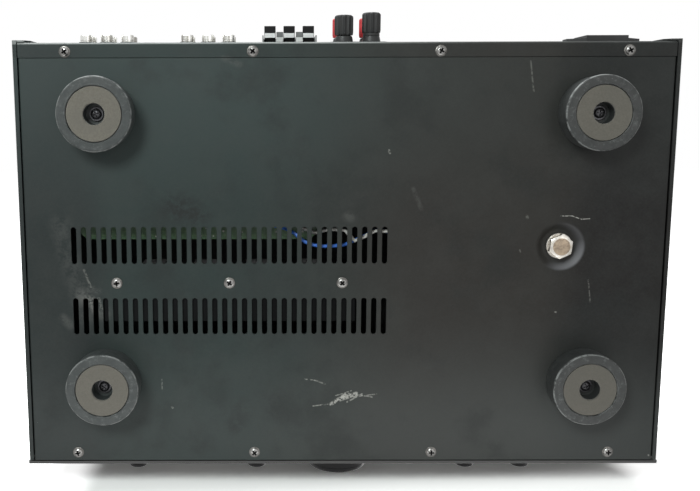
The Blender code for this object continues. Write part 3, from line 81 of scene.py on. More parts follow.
# Folded sheets
PLATE_BEND = 0.0016
PLATE_SIDE_FLANGE = 0.012
PLATE_FRONT_FLANGE = 0.01
SEAM_Y = REAR_Y - 0.0111
PLATE_END_Y = SEAM_Y - 0.0004
JOGGLE_LENGTH = 0.01
COVER_LIP = 0.003
COVER_BEND = 0.0014
COVER_REAR_FLANGE = 0.011

# Slots
SLOT_WIDTH = 0.0035
SLOT_LENGTH = 0.0248
SLOT_PITCH = 0.00664
SLOT_COUNT = 32
SLOT_ROW_SPACING = 0.048
SLOT_EDGE = 0.0002
SLOT_FIELD_X = HALF_WIDTH - 0.1385
SLOT_FIELD_Y = FRONT_Y + 0.125
TOP_SLOT_PITCH = 0.0144

# Feet
FOOT_X = HALF_WIDTH - 0.055
FOOT_YS = {"front": FRONT_Y + 0.0555, "rear": REAR_Y - 0.047}
FOOT_RADIUS = 0.024
FOOT_TOP_RADIUS = 0.0232
FOOT_EDGE = 0.0014
INLAY_RADIUS = 0.0174
INLAY_THICKNESS = 0.0018
INLAY_INSET = 0.0004
INLAY_GROOVE = 0.0005
COUNTERBORE_DEPTH = 0.0102
FOOT_SCREW_RADIUS = 0.002
FOOT_WASHER_RADIUS = 0.0046
FOOT_SCREW_FLANGE = 0.0008
FOOT_SCREW_ABOVE_PLATE = 0.005
FOOT_SCREW_HEAD_RADIUS = 0.0034
FOOT_SCREW_HEAD = 0.0018
FOOT_SCREW_CROSS = (0.0009, 0.0042, 0.0012)

# Transformer and its bolt
CORE_X = 0.0725 - HALF_WIDTH
CORE_Y = FRONT_Y + 0.148
CORE_RADIUS = 0.055
CORE_BORE_RADIUS = 0.0185
CORE_HEIGHT = 0.046
DISH_RADIUS = 0.0168
DISH_FLAT_RADIUS = 0.0104
DISH_DEPTH = 0.0038
BOLT_RADIUS = 0.004
BOLT_TIP_CHAMFER = 0.0006
BOLT_FLANGE_RADIUS = 0.0086
BOLT_FLANGE = 0.0014
BOLT_ACROSS_FLATS = 0.0144
BOLT_TURN = 0.632
BOLT_HEAD = 0.0045
BOLT_FACE_RADIUS = 0.0057
BOLT_CHAMFER = 0.0013
BOLT_END_ABOVE_WASHER = 0.01
CLAMP_SHEET = 0.002
CLAMP_DISH = 0.003

# Rows of slots in the cover: middle, length and count
TOP_SLOT_ROWS = ((SLOT_FIELD_X, SLOT_FIELD_Y - 0.0208, 0.0236, 11),
                 (SLOT_FIELD_X, SLOT_FIELD_Y + 0.0463, 0.036, 11), (CORE_X, CORE_Y, 0.036, 4))

# Small screws
EDGE_SCREW_RADIUS = 0.0016
EDGE_SCREW_SIDE_INSET = 0.03395
EDGE_SCREW_TURNS = {"front": (0, 0, 38, 12), "rear": (28, 62, 50, 35)}
EDGE_SCREW_YS = {"front": FRONT_Y + 0.0056, "rear": REAR_Y - 0.0073}
PAN_RADIUS = 0.0029
PAN_HEIGHT = 0.0015
RING_RADIUS = 0.0037
RING_HEIGHT = 0.0005
SCREW_CROSS = (0.0012, 0.0042, 0.0013)
SINK_SCREW_TURNS = (45, 55, 8)
SINK_SCREW_Y = SLOT_FIELD_Y - 0.0012
SINK_SCREW_RADIUS = 0.0018
SINK_SCREW_DEPTH = 0.01
SINK_HEAD_HEIGHT = 0.0018
SINK_BASE = 0.007
FIN_COUNT = 15
FIN_THICKNESS = 0.0022
FIN_STEP = 0.0041
WEB_THICKNESS = 0.0015

# Controls: place and turn of each dial, and the strokes printed round it
SMALL_KNOB_Z = PLATE_Z + 0.034
CONTROLS = {
    "bass": (HALF_WIDTH * -0.6116, SMALL_KNOB_Z, 150, 11),
    "treble": (HALF_WIDTH * -0.4256, SMALL_KNOB_Z, 150, 11),
    "volume": (0, PLATE_Z + 0.052, 150, 31),
    "balance": (HALF_WIDTH * 0.2767, SMALL_KNOB_Z, 150, 11),
    "selector": (HALF_WIDTH * 0.6767, SMALL_KNOB_Z, 60, 5),
}
VOLUME_REACH = 0.024
KNOB_BACK_GAP = 0.0009
KNOB_DIP = 0.00025
KNOB_GROOVE = 0.00015
KNOB_GROOVE_BACK = 0.0016
SHAFT_RADIUS = 0.003
BUSH_RADIUS = 0.0042
POT_BORE_DEPTH = 0.004
POINTER_HALF = 0.0009 / 2
POINTER_DEPTH = 0.0004
TICK_WIDTH = 0.0005
TICK_HEIGHT = 0.00006
TICK_GAP = 0.0022
BUTTON_X = 0.023 - HALF_WIDTH
BUTTON_WIDTH = 0.016
BUTTON_HEIGHT = 0.009
SOCKET_X = 0.05 - HALF_WIDTH
SOCKET_BORE_RADIUS = 0.0034
SOCKET_DEPTH = 0.028
SOCKET_FACE_WALL = 0.002
SOCKET_CAVITY_HALF = 0.0074 / 2
SOCKET_NOSE_RADIUS = 0.0052
SOCKET_RIM_RADIUS = 0.0072
SOCKET_RIM = 0.0014
SOCKET_BODY_LENGTH = 0.026
SOCKET_BODY_HALF = 0.016 / 2

# Rear connectors
BOARD_TOP_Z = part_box("main_board")[1].z
JACK_PITCH = 0.014
JACK_COLUMNS = 3
JACK_LOW_Z = PLATE_Z + 0.031
JACK_GROUP_XS = (HALF_WIDTH - 0.0555, HALF_WIDTH - 0.0555 - 0.0684)
JACK_RADIUS = 0.00415
JACK_COLLAR_RADIUS = 0.0052
JACK_COLLAR = 0.0026
JACK_REACH = 0.0057
JACK_GROOVE = 0.0008
JACK_CHAMFER = 0.0005
JACK_HOLE_RADIUS = 0.0016
JACK_HOLE_DEPTH = 0.008
JACK_BLOCK_DEPTH = 0.011
JACK_BLOCK_MARGIN = 0.0065
PUSH_X = HALF_WIDTH - 0.1788
PUSH_HALF = 0.0364 / 2
PUSH_LOW_Z = PLATE_Z + 0.022
PUSH_TALL = 0.031
PUSH_INNER_DEPTH = 0.01
PUSH_SHOULDER = 0.0015
PUSH_CHANNEL_DEPTH = 0.0135
PUSH_FRONT_Y = REAR_Y + 0.0047
LEVER_HALF = 0.0077 / 2
LEVER_PIVOT_RADIUS = 0.0018
LEVER_ARM = 0.0155
LEVER_TAB_REACH = 0.0117
LEVER_TAB_THICKNESS = 0.0026
LEVER_BAND = (0.0039, 0.0069)
RIB_STEP = 0.0033
RIB_RISE = 0.0021
POST_X = PUSH_X - 0.0462
POST_PITCH_X = 0.0185
POST_PITCH_Z = 0.019
POST_LOW_Z = PLATE_Z + 0.031
COLLAR_RADIUS = 0.0062
COLLAR_TOP_RADIUS = 0.0056
COLLAR_LENGTH = 0.0061
STUD_RADIUS = 0.0022
STUD_IN_CAP = 0.008
THREAD_PITCH = 0.0007
THREAD_DEPTH = 0.00025
CAP_SEAT = COLLAR_LENGTH + GAP * 2
CAP_RADIUS = 0.0063
CAP_LENGTH = 0.0132
CAP_ROUNDING = 0.0016
CAP_FLUTES = 12
FLUTE_DEPTH = 0.0008
CAP_BACKED_OFF = 0.0016
INLET_X = 0.044 - HALF_WIDTH
INLET_Z = PLATE_Z + 0.0225
INLET_FLANGE = 0.0026
INLET_RAISE = 0.0018
CAVITY_DEPTH = 0.016
CAVITY_HALF = 0.0245 / 2
CAVITY_TALL = 0.0163 / 2
INLET_WALL = 0.0014
INLET_FLOOR = 0.003
PIN_SPACING = 0.014
PIN_OFFSET = 0.004
PIN_WIDTH = 0.002
PIN_TALL = 0.004
PIN_RECESS = 0.005
EAR_SCREW_INSET = 0.0042
EAR_SCREW_CROSS = (0.0008, 0.0034, 0.001)
EAR_SCREW_END = -0.006
EAR_HEAD_RADIUS = 0.0028
EAR_SHANK_RADIUS = 0.0014
EAR_SINK_DEPTH = 0.0015
EAR_HEAD_TOP = -0.0001
CAPACITOR_HEIGHT = 0.05
CAPACITOR_XS = (HALF_WIDTH - 0.14, HALF_WIDTH - 0.1)
CAPACITOR_Y = FRONT_Y + 0.19

UPRIGHT = Matrix.Identity(4)
FACE_DOWN = Matrix.Rotation(math.pi, 4, "X")
FACE_REAR = Matrix.Rotation(-math.pi / 2, 4, "X")
FACE_FRONT = Matrix.Rotation(math.pi / 2, 4, "X")
SCENE = bpy.context.scene
SEEDS = random.Random(7)


# Mesh helpers

def shown(name, shape):
    """Turn a bmesh into an object in the scene."""
    mesh = bpy.data.meshes.new(name)
    shape.to_mesh(mesh)
    shape.free()
    item = bpy.data.objects.new(name, mesh)
    SCENE.collection.objects.link(item)
    return item


def keep(name, shape):
    """Weld a bmesh, turn its faces outwards and show it."""
    bmesh.ops.remove_doubles(shape, verts=shape.verts, dist=0.000002)
    bmesh.ops.recalc_face_normals(shape, faces=shape.faces)
    return shown(name, shape)


def lathe(name, profile, centre, facing, sides, closed=False):
    """Turn a profile of (radius, height) points about an axis."""
    shape = bmesh.new()
    place = Matrix.Translation(centre) @ facing
    rings = []
    for radius, height in profile:
        ring = []
        for step in range(sides if radius > 0.00001 else 1):
            turn = math.tau * step / sides
            point = Vector((radius * math.cos(turn), radius * math.sin(turn), height))
            ring.append(shape.verts.new(place @ point))
        rings.append(ring)
    pairs = list(zip(rings, rings[1:]))
    if closed:
        pairs.append((rings[-1], rings[0]))
    for first, second in pairs:
        for step in range(sides):
            corners = []
            for ring, at in ((first, step), (first, step + 1), (second, step + 1), (second, step)):
                corner = ring[at % len(ring)]
                if corner not in corners:
                    corners.append(corner)
            if len(corners) > 2:
                shape.faces.new(corners)
    return keep(name, shape)


def in_space(plane, across, up, along):
    """A point of a flat outline, carried along the third axis."""
    if plane == "XY":
        return (across, up, along)
    if plane == "XZ":
        return (across, along, up)
    return (along, across, up)


def loft(name, layers, plane="XY"):
    """Join equal-length outlines, each at its own place along the third axis, into a closed body."""
    shape = bmesh.new()
    loops = []
    for outline, along in layers:
        loops.append([shape.verts.new(in_space(plane, a, b, along)) for a, b in outline])
    for first, second in zip(loops, loops[1:]):
        for index in range(len(first)):
            after = (index + 1) % len(first)
            shape.faces.new((first[index], first[after], second[after], second[index]))
    shape.faces.new(list(reversed(loops[0])))
    shape.faces.new(loops[-1])
    return keep(name, shape)


def prism(name, outline, plane, start, end):
    return loft(name, [(outline, start), (outline, end)], plane)


def block(name, low, high):
    outline = [(low[0], low[1]), (high[0], low[1]), (high[0], high[1]), (low[0], high[1])]
    return prism(name, outline, "XY", low[2], high[2])


def slab(name, x, z, half, tall, near, far):
    """A block about a point of the front or rear, between two depths."""
    return block(name, (x - half, near, z - tall), (x + half, far, z + tall))


def rods(centres, radius, start, end, facing=UPRIGHT, sides=32):
    """Equal cylinders as one cutter."""
    profile = [(0, start), (radius, start), (radius, end), (0, end)]
    return joined([lathe("rods", profile, centre, facing, sides) for centre in centres])


def drop(item):
    mesh = item.data
    bpy.data.objects.remove(item, do_unlink=True)
    bpy.data.meshes.remove(mesh)


def joined(items):
    """Merge several objects into the first."""
    shape = bmesh.new()
    for item in items:
        shape.from_mesh(item.data)
    first = items[0]
    shape.to_mesh(first.data)
    shape.free()
    for item in items[1:]:
        drop(item)
    return first


def bake(item):
    """Replace an object's mesh with the result of its modifiers."""
    graph = bpy.context.evaluated_depsgraph_get()
    made = bpy.data.meshes.new_from_object(item.evaluated_get(graph))
    old = item.data
    item.modifiers.clear()
    item.data = made
    made.name = item.name
    bpy.data.meshes.remove(old)
    return item


def combine(item, others, operation):
    for other in others:
        step = item.modifiers.new("step", "BOOLEAN")
        step.operation = operation
        step.object = other
        step.solver = "EXACT"
    bake(item)
    for other in others:
        drop(other)
    return item


def add(item, *others):
    return combine(item, others, "UNION")


def cut(item, *others):
    return combine(item, others, "DIFFERENCE")


def soften(item, width, angle=30):
    """Round the edges that are sharper than an angle."""
    edge = item.modifiers.new("edge", "BEVEL")
    edge.width = width
    edge.segments = 2
    edge.limit_method = "ANGLE"
    edge.angle_limit = math.radians(angle)
    edge.miter_outer = "MITER_ARC"
    return bake(item)


def arc(centre, radius, start, end, steps):
    """Points of an arc between two angles in degrees, both ends included."""
    angles = [math.radians(start + (end - start) * step / steps) for step in range(steps + 1)]
    return [(centre[0] + radius * math.cos(a), centre[1] + radius * math.sin(a)) for a in angles]


def rounded_path(points, radius, steps):
    """An open path whose inner corners are replaced by arcs."""
    path = [points[0]]
    for before, corner, after in zip(points, points[1:], points[2:]):
        here = Vector(corner)
        into = (Vector(before) - here).normalized()
        out = (Vector(after) - here).normalized()
        half = into.angle(out) / 2
        centre = here + (into + out).normalized() * radius / math.sin(half)
        first = here + into * radius / math.tan(half) - centre
        last = here + out * radius / math.tan(half) - centre
        turn = first.angle_signed(last)
        for step in range(steps + 1):
            path.append(tuple(centre + Matrix.Rotation(-turn * step / steps, 2) @ first))
    path.append(points[-1])
    return path


def bent_sheet(name, path, plane, start, end):
    """Folded sheet: an open strip along a path whose outside lies to its left, thickened inwards."""
    shape = bmesh.new()
    rows = [[shape.verts.new(in_space(plane, a, b, along)) for along in (start, end)] for a, b in path]
    for first, second in zip(rows, rows[1:]):
        shape.faces.new((first[0], second[0], second[1], first[1]))
    item = shown(name, shape)
    wall = item.modifiers.new("wall", "SOLIDIFY")
    wall.thickness = SHEET
    wall.offset = -1.0
    wall.use_even_offset = True
    return bake(item)


def row_of(middle, count, pitch):
    return [middle + (index - (count - 1) / 2) * pitch for index in range(count)]


def part_look(item, look, other, chosen):
    """Give the faces whose middles are chosen another look than the rest."""
    if not item.data.materials:
        item.data.materials.append(LOOKS[look])
    item.data.materials.append(LOOKS[other])
    last = len(item.data.materials) - 1
    for face in item.data.polygons:
        if chosen(face.center):
            face.material_index = last


def dress(item, look, replaced=None, body="root", slot=None, angle=32):
    """Give a piece its material, shading and body, and hide the model's node that it replaces; the slot is
    worked out but not given to the piece.
    """
    if not item.data.materials:
        item.data.materials.append(LOOKS[look])
    item.data.shade_smooth()
    item.data.set_sharp_from_angle(angle=math.radians(angle))
    weigh = item.modifiers.new("weigh", "WEIGHTED_NORMAL")
    weigh.keep_sharp = True
    weigh.weight = 100
    bake(item)
    if replaced:
        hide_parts(replaced)
    if slot is None and look in SLOTS.values():
        slot = look
    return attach(item, body)


EDGE_SCREW_XS = row_of(0, 4, (HALF_WIDTH - EDGE_SCREW_SIDE_INSET) * 2 / 3)
SINK_SCREW_XS = row_of(SLOT_FIELD_X, 3, 0.075)
LEVER_XS = row_of(PUSH_X, 3, 0.013)
SIDES = (("left", -1), ("right", 1))
FEET = {end + "_" + side: (sign * FOOT_X, y, 0) for end, y in FOOT_YS.items() for side, sign in SIDES}
POSTS = {colour + "_" + side: Vector((POST_X + sign * POST_PITCH_X / 2, REAR_FACE_Y, z))
         for colour, z in (("black", POST_LOW_Z), ("red", POST_LOW_Z + POST_PITCH_Z))
         for side, sign in SIDES}


# Materials

def feed(socket, value):
    """Link an output into an input, or set the input to a plain value."""
    if isinstance(value, bpy.types.NodeSocket):
        socket.id_data.links.new(value, socket)
    elif socket.type == "RGBA":
        socket.default_value = (*value, 1)
    else:
        socket.default_value = value


def node(tree, kind, inputs=(), **settings):
    """A new shader node with its settings, and its inputs fed by name or number."""
    made = tree.nodes.new("ShaderNode" + kind)
    for name, value in settings.items():
        setattr(made, name, value)
    for key, value in dict(inputs).items():
        feed(made.inputs[key], value)
    return made


LOOKS = {}


class Look:
    """A node material under construction, with short names for the nodes used here."""

    def __init__(self, name, colour, roughness, metallic=0.0, **uniform):
        LOOKS[name] = bpy.data.materials.new(name)
        LOOKS[name].use_nodes = True
        self.tree = LOOKS[name].node_tree
        self.shader = self.tree.nodes["Principled BSDF"].inputs
        feed(self.shader["Base Color"], colour)
        feed(self.shader["Roughness"], roughness)
        feed(self.shader["Metallic"], metallic)
        for label, value in uniform.items():
            feed(self.shader[label.replace("_", " ")], value)
        self.place = node(self.tree, "TexCoord").outputs["Object"]

    def finish(self, tone, rough, height, depth, skin=None):
        """Link the colour, the roughness and a relief."""
        feed(self.shader["Base Color"], tone)
        feed(self.shader["Roughness"], rough)
        feed(self.shader["Normal"], self.bump(height, depth, skin))

    def math(self, operation, first, second=0.0):
        return node(self.tree, "Math", {0: first, 1: second}, operation=operation).outputs[0]

    def plus(self, first, second):
        return self.math("ADD", first, second)

    def times(self, first, *others):
        for other in others:
            first = self.math("MULTIPLY", first, other)
        return first

    def vector(self, operation, first, second, output="Vector"):
        inputs = {0: first, "Scale" if operation == "SCALE" else 1: second}
        return node(self.tree, "VectorMath", inputs, operation=operation).outputs[output]

    def axes(self, at=None):
        return node(self.tree, "SeparateXYZ", {0: at or self.place}).outputs

    def noise(self, scale, detail=3.0, roughness=0.5, at=None):
        inputs = {"Scale": scale, "Detail": detail, "Roughness": roughness, "Vector": at or self.place}
        return node(self.tree, "TexNoise", inputs).outputs["Fac"]

    def drift(self, scale, detail, low, high, start=0.0, end=1.0, roughness=0.5):
        """A noise, mapped smoothly from one range to another."""
        return self.span(self.noise(scale, detail, roughness), low, high, start, end)

    def specks(self, scale, size, share, amount, seed=0.0):
        """Small round specks, one in some of the cells of a grid: amount inside, 0 outside."""
        moved = self.vector("ADD", self.place, (seed, seed, seed))
        cells = node(self.tree, "TexVoronoi", {"Scale": scale, "Vector": moved}).outputs
        inside = self.span(cells["Distance"], size * scale, size * scale * 0.6)
        return self.times(inside, self.math("LESS_THAN", cells["Color"], share), amount)

    def span(self, value, low, high, start=0.0, end=1.0):
        """Map a value smoothly from one range to another, and hold it at the ends."""
        inputs = {"From Min": low, "From Max": high, "To Min": start, "To Max": end, "Value": value}
        return node(self.tree, "MapRange", inputs, interpolation_type="SMOOTHSTEP").outputs["Result"]

    def mix(self, share, first, second):
        return node(self.tree, "Mix", {0: share, 6: first, 7: second}, data_type="RGBA").outputs[2]

    def coats(self, tone, *coats):
        """Lay coats over a tone, each a share and a colour."""
        for share, colour in coats:
            tone = self.mix(share, tone, colour)
        return tone

    def bump(self, height, distance, normal=None):
        inputs = {"Strength": 1.0, "Distance": distance, "Height": height}
        if normal is not None:
            inputs["Normal"] = normal
        return node(self.tree, "Bump", inputs).outputs["Normal"]

    def line(self, start, end, width, soft):
        """1 on a stroke of the underside between two points seen square on, 0 away from it."""
        flat = self.vector("MULTIPLY", self.place, (1, 1, 0))
        first = Vector((*start, 0))
        way = Vector((*end, 0)) - first
        from_first = self.vector("SUBTRACT", flat, tuple(first))
        along = self.vector("DOT_PRODUCT", from_first, tuple(way / way.length_squared), "Value")
        held = self.math("MINIMUM", self.math("MAXIMUM", along, 0.0), 1.0)
        far = self.vector("DISTANCE", from_first, self.vector("SCALE", way, held), "Value")
        return self.span(far, width * (1 + soft), width * (1 - soft))


def mottled(name, colour, roughness, grain=1200, depth=0.00002, spread=0.25, patch=40, sheen=0.5):
    """A surface whose colour and gloss drift a little, with a fine grain in relief."""
    look = Look(name, colour, roughness, Specular_IOR_Level=sheen)
    dark = tuple(part * (1 - spread) for part in colour)
    light = tuple(min(1.0, part * (1 + spread)) for part in colour)
    tone = look.mix(look.drift(patch, 4, 0.3, 0.7), dark, light)
    gloss = look.drift(patch * 3, 3, 0.25, 0.75, roughness * 0.85, roughness * 1.15)
    look.finish(tone, gloss, look.noise(grain, 2), depth)


def painted_underside_light(look, drift):
    """Black paint with painted light and shade over the underside: cool towards +X and the rear, paler
    towards the front, darker at the ends.
    """
    place = look.axes()
    x = look.plus(place[0], drift)
    y = look.plus(place[1], drift)
    under = look.span(place[2], 0.05, 0.03)
    left = look.span(x, -0.17, 0.12)
    front = look.span(y, -0.03, -0.125)
    rear = look.span(y, 0.01, 0.13)
    seam = look.span(place[1], SEAM_Y + SLOT_EDGE, SEAM_Y - SLOT_EDGE, 0.35, 1.0)
    # grey: a pale painted light, strongest towards the front on the -X side, with a little all over the +X
    # side
    grey = look.plus(look.times(front, look.plus(look.times(left, -0.32), 0.58)), look.times(left, 0.14))
    # cool_light: a cool painted light towards the rear, strongest on the +X side, weaker on the folded strip
    # behind the seam
    cool_light = look.times(rear, look.plus(look.times(left, 0.42), 0.12), seam)
    # bare: the underside's base tone, tinted cool towards +X and warm towards -X as painted light, and
    # darker at both ends as painted shade
    bare = look.mix(look.span(x, -0.06, 0.09), (0.018, 0.0165, 0.0145), (0.013, 0.024, 0.0225))
    bare = look.coats(bare, (look.span(x, -0.13, -0.17), (0.005, 0.0048, 0.0045)),
                      (look.span(x, 0.155, 0.18), (0.008, 0.013, 0.013)))
    return look.coats(look.mix(under, (0.02, 0.022, 0.021), bare),
                      (look.times(under, grey), (0.057, 0.064, 0.062)),
                      (look.times(under, cool_light), (0.048, 0.066, 0.064)))


def painted_dish_highlight(look):
    """Painted highlight on the wall of the pressed dish, brightest towards the front and the mains side."""
    middle = (CORE_X, CORE_Y, 0)
    flat = look.vector("MULTIPLY", look.place, (1, 1, 0))
    far = look.vector("DISTANCE", flat, middle, "Value")
    ring = look.times(look.span(far, DISH_FLAT_RADIUS, 0.0143), look.span(far, DISH_RADIUS, 0.0148))
    sides = []
    for way, low, high, most in (((-0.68, -0.73, 0), 0.05, 0.98, 1.0), ((-0.83, 0.55, 0), 0.3, 1.0, 0.35)):
        along = look.vector("DOT_PRODUCT", look.vector("SUBTRACT", flat, middle), way, "Value")
        sides.append(look.span(look.math("DIVIDE", along, far), low, high, 0.0, most))
    return look.times(ring, look.math("MAXIMUM", *sides))


def painted_fold_highlight(look):
    """Painted highlight along the rear panel's lower fold, weaker towards the mains side."""
    x, y, z = look.axes()
    return look.times(look.span(y, REAR_FACE_Y - PLATE_BEND * 0.85, REAR_FACE_Y - PLATE_BEND * 0.45),
                      look.span(z, PLATE_Z + PLATE_BEND, PLATE_Z + PLATE_BEND * 0.8),
                      look.span(x, -0.1, 0.04, 0.06, 0.48))


# Strokes of wear on the underside: from and to in millimetres, width in millimetres, and strength
SCRATCHES = (
    (26.0, -81.9, 19.2, -82.8, 0.4, 0.4), (19.2, -82.8, 12.4, -85.4, 0.5, 0.3),
    (20.5, -100.9, 5.5, -98.8, 0.4, 0.45), (8.3, -99.5, -1.2, -93.1, 1.1, 0.75),
    (2.2, -96.0, -8.6, -92.4, 1.4, 0.8), (-1.2, -91.7, -19.5, -94.6, 0.4, 0.5),
    (-2.6, -98.1, -12.7, -92.4, 0.5, 0.5), (5.0, -93.5, -6.0, -90.0, 0.4, 0.45),
    (-7.0, -94.5, -22.5, -92.5, 0.4, 0.4), (173.2, -6.6, 169.0, -18.0, 0.7, 0.22),
    (172.5, -26.2, 169.0, -27.0, 2.6, 0.2), (169.0, -29.0, 166.5, -34.5, 2.0, 0.24),
    (164.0, -26.2, 162.2, -33.0, 1.0, 0.2), (-141.8, 29.0, -149.4, 29.0, 0.28, 0.95),
    (-149.4, 29.0, -155.5, 26.8, 0.26, 0.95), (-155.5, 26.8, -160.9, 27.2, 0.24, 0.9),
    (-118.0, 129.1, -120.7, 110.1, 0.5, 0.22), (-28.1, 72.4, -28.7, 70.5, 0.7, 0.4),
    (-119.5, 29.0, -119.9, 28.0, 0.9, 0.18), (-115.8, 6.4, -116.1, 5.0, 0.5, 0.18),
    (-140.8, -35.6, -141.6, -35.8, 0.5, 0.45), (-162.0, -14.0, -164.0, -29.0, 0.4, 0.22),
    (122.8, -82.0, 122.8, -90.0, 0.4, 0.25), (116.3, -101.4, 115.8, -102.2, 0.6, 0.35),
    (79.3, -1.4, 79.0, -1.6, 0.4, 0.45), (72.7, -1.4, 72.4, -1.6, 0.4, 0.4),
    (-209.0, -136.2, -209.4, -136.2, 0.5, 0.5),
)
SMUDGES = (
    (188.0, 23.6, 173.4, -37.2, 6.0, 0.22), (174.4, -24.2, 161.4, -35.9, 4.2, 0.55),
    (169.6, -19.0, 164.0, -21.0, 2.0, 0.45), (183.8, -44.1, 188.0, -39.5, 2.6, 0.35),
    (79.0, 131.8, 69.0, 127.5, 2.0, 0.28), (110.6, 35.5, 98.0, 30.0, 9.0, -0.8),
    (70.1, -103.6, 72.0, -110.0, 7.0, -0.35), (47.7, -98.7, 44.0, -106.0, 7.0, -0.35),
    (98.0, -131.0, 98.5, -131.2, 5.0, -0.3), (73.5, -116.0, 74.0, -116.2, 5.0, -0.3),
    (-2.0, 29.0, -3.5, 28.5, 3.0, 0.3), (-44.5, 47.0, -50.0, 34.0, 1.2, 0.3),
)


def worn(look, paint):
    """Scratches and smudges on the underside, pale where their strength is positive and dark elsewhere."""
    underside = look.span(look.axes()[2], PLATE_Z + PLATE_BEND * 5, PLATE_Z + PLATE_BEND * 3)
    for rows, ragged, soft, pale in (
            (SCRATCHES, look.drift(620, 3, 0.38, 0.56, roughness=0.6), 0.5, (0.4, 0.4, 0.37)),
            (SMUDGES, look.drift(150, 5, 0.36, 0.6, roughness=0.75), 0.8, (0.115, 0.118, 0.112))):
        shown_here = look.times(ragged, underside)
        for row in rows:
            x, y, to_x, to_y, width = (number / 1000 for number in row[:5])
            stroke = look.line((x, y), (to_x, to_y), width, soft)
            tone = pale if row[5] > 0 else (0.013, 0.014, 0.014)
            paint = look.mix(look.times(stroke, shown_here, abs(row[5])), paint, tone)
    return paint


def case_paint():
    """Satin black powder paint: blotches, dust, handling marks and bright scratches, with painted light and
    shade over the underside and painted highlights in the dish and along the rear fold.
    """
    look = Look("case_paint", (0.02, 0.022, 0.021), 0.5, Specular_IOR_Level=0.2)
    # Painted light and shade over the underside.
    paint = painted_underside_light(look, look.drift(9, 3, 0.3, 0.7, -0.006, 0.006))
    handled = look.span(look.axes()[2], 0.05, 0.03, 0.25, 1.0)
    cloudy = look.times(look.drift(42, 5, 0.35, 0.8, 0.0, 0.2, 0.6), handled)
    wiped = look.times(look.drift(26, 5, 0.48, 0.7, 0.0, 0.45, 0.6), handled)
    # The last two coats below are painted highlights, in the dish and along the rear fold.
    paint = look.coats(paint, (cloudy, (0.05, 0.053, 0.05)), (wiped, (0.012, 0.0145, 0.014)),
                       (look.drift(700, 3, 0.25, 0.8, 0.0, 0.08, 0.6), (0.075, 0.079, 0.076)),
                       (painted_dish_highlight(look), (0.125, 0.126, 0.134)), (painted_fold_highlight(look), (0.44, 0.46, 0.45)))
    paint = look.coats(worn(look, paint), (look.specks(160, 0.00026, 0.16, 0.45), (0.3, 0.31, 0.29)),
                       (look.specks(55, 0.0004, 0.1, 0.3, 0.37), (0.24, 0.25, 0.24)))
    skin = look.bump(look.noise(1500, 2), 0.00001)
    gloss = look.drift(30, 4, 0.3, 0.7, 0.485, 0.515)
    look.finish(paint, gloss, look.noise(260, 2), 0.000015, skin)


def foot_rubber():
    """Moulded dark plastic of the feet: scuffed, with a paler rim that is partly wear and partly a painted
    highlight, and painted shade on the -X feet.
    """
    look = Look("foot_rubber", (0.034, 0.039, 0.038), 0.55)
    across, along, height = look.axes()
    # rim: a pale band round the rounded edge, partly wear and partly a painted highlight
    rim = look.times(look.span(height, 0.0019, 0.0011), look.span(height, 0.0001, 0.0004),
                     look.drift(130, 4, 0.4, 0.56, roughness=0.7), 0.8)
    rubbed = look.times(look.span(height, 0.0004, 0.0001),
                        look.drift(260, 6, 0.52, 0.64, roughness=0.8), 0.5)
    tone = look.mix(look.drift(60, 4, 0.3, 0.7), (0.022, 0.027, 0.0265), (0.034, 0.04, 0.039))
    # The first coat darkens the -X feet as painted shade.
    tone = look.coats(tone, (look.span(across, -0.02, -0.12, 0.0, 0.6), (0.012, 0.012, 0.0115)),
                      (rim, (0.22, 0.23, 0.225)), (rubbed, (0.115, 0.122, 0.12)),
                      (look.specks(300, 0.0004, 0.2, 0.4), (0.17, 0.18, 0.18)),
                      (look.specks(700, 0.00016, 0.25, 0.5, 0.2), (0.25, 0.26, 0.26)))
    look.finish(tone, look.drift(200, 3, 0.3, 0.7, 0.45, 0.68), look.noise(1100, 3), 0.00005)


def inlay_grey():
    """Felted grey-beige disc with short fibres, lint and a few pale dots, darkened towards the front and
    towards -X as painted shade.
    """
    look = Look("inlay_grey", (0.17, 0.16, 0.135), 0.9, Sheen_Weight=0.25, Sheen_Roughness=0.5)
    fibre = look.noise(900, 5, 0.75)
    across, along, height = look.axes()
    tone = look.mix(look.span(fibre, 0.3, 0.7), (0.125, 0.117, 0.097), (0.178, 0.166, 0.139))
    # The second and third coats darken the discs towards the front and towards -X as painted shade.
    tone = look.coats(tone, (look.drift(70, 3, 0.35, 0.75, 0.0, 0.35), (0.12, 0.115, 0.1)),
                      (look.span(along, 0.05, -0.05, 0.05, 0.45), (0.065, 0.062, 0.053)),
                      (look.span(across, 0.02, -0.12, 0.0, 0.35), (0.065, 0.062, 0.053)),
                      (look.specks(260, 0.00022, 0.22, 0.5, 0.11), (0.42, 0.42, 0.4)))
    look.finish(tone, 0.9, fibre, 0.00006)


def steel(name, colour, roughness, tarnish, amount):
    """Plated steel, dulled in patches and finely scratched."""
    look = Look(name, colour, roughness, 1.0)
    tone = look.mix(look.drift(330, 5, 0.35, 0.75, 0.0, amount, 0.7), colour, tarnish)
    gloss = look.drift(520, 3, 0.3, 0.7, roughness * 0.7, roughness * 1.4)
    look.finish(tone, gloss, look.noise(1900, 3), 0.00001)


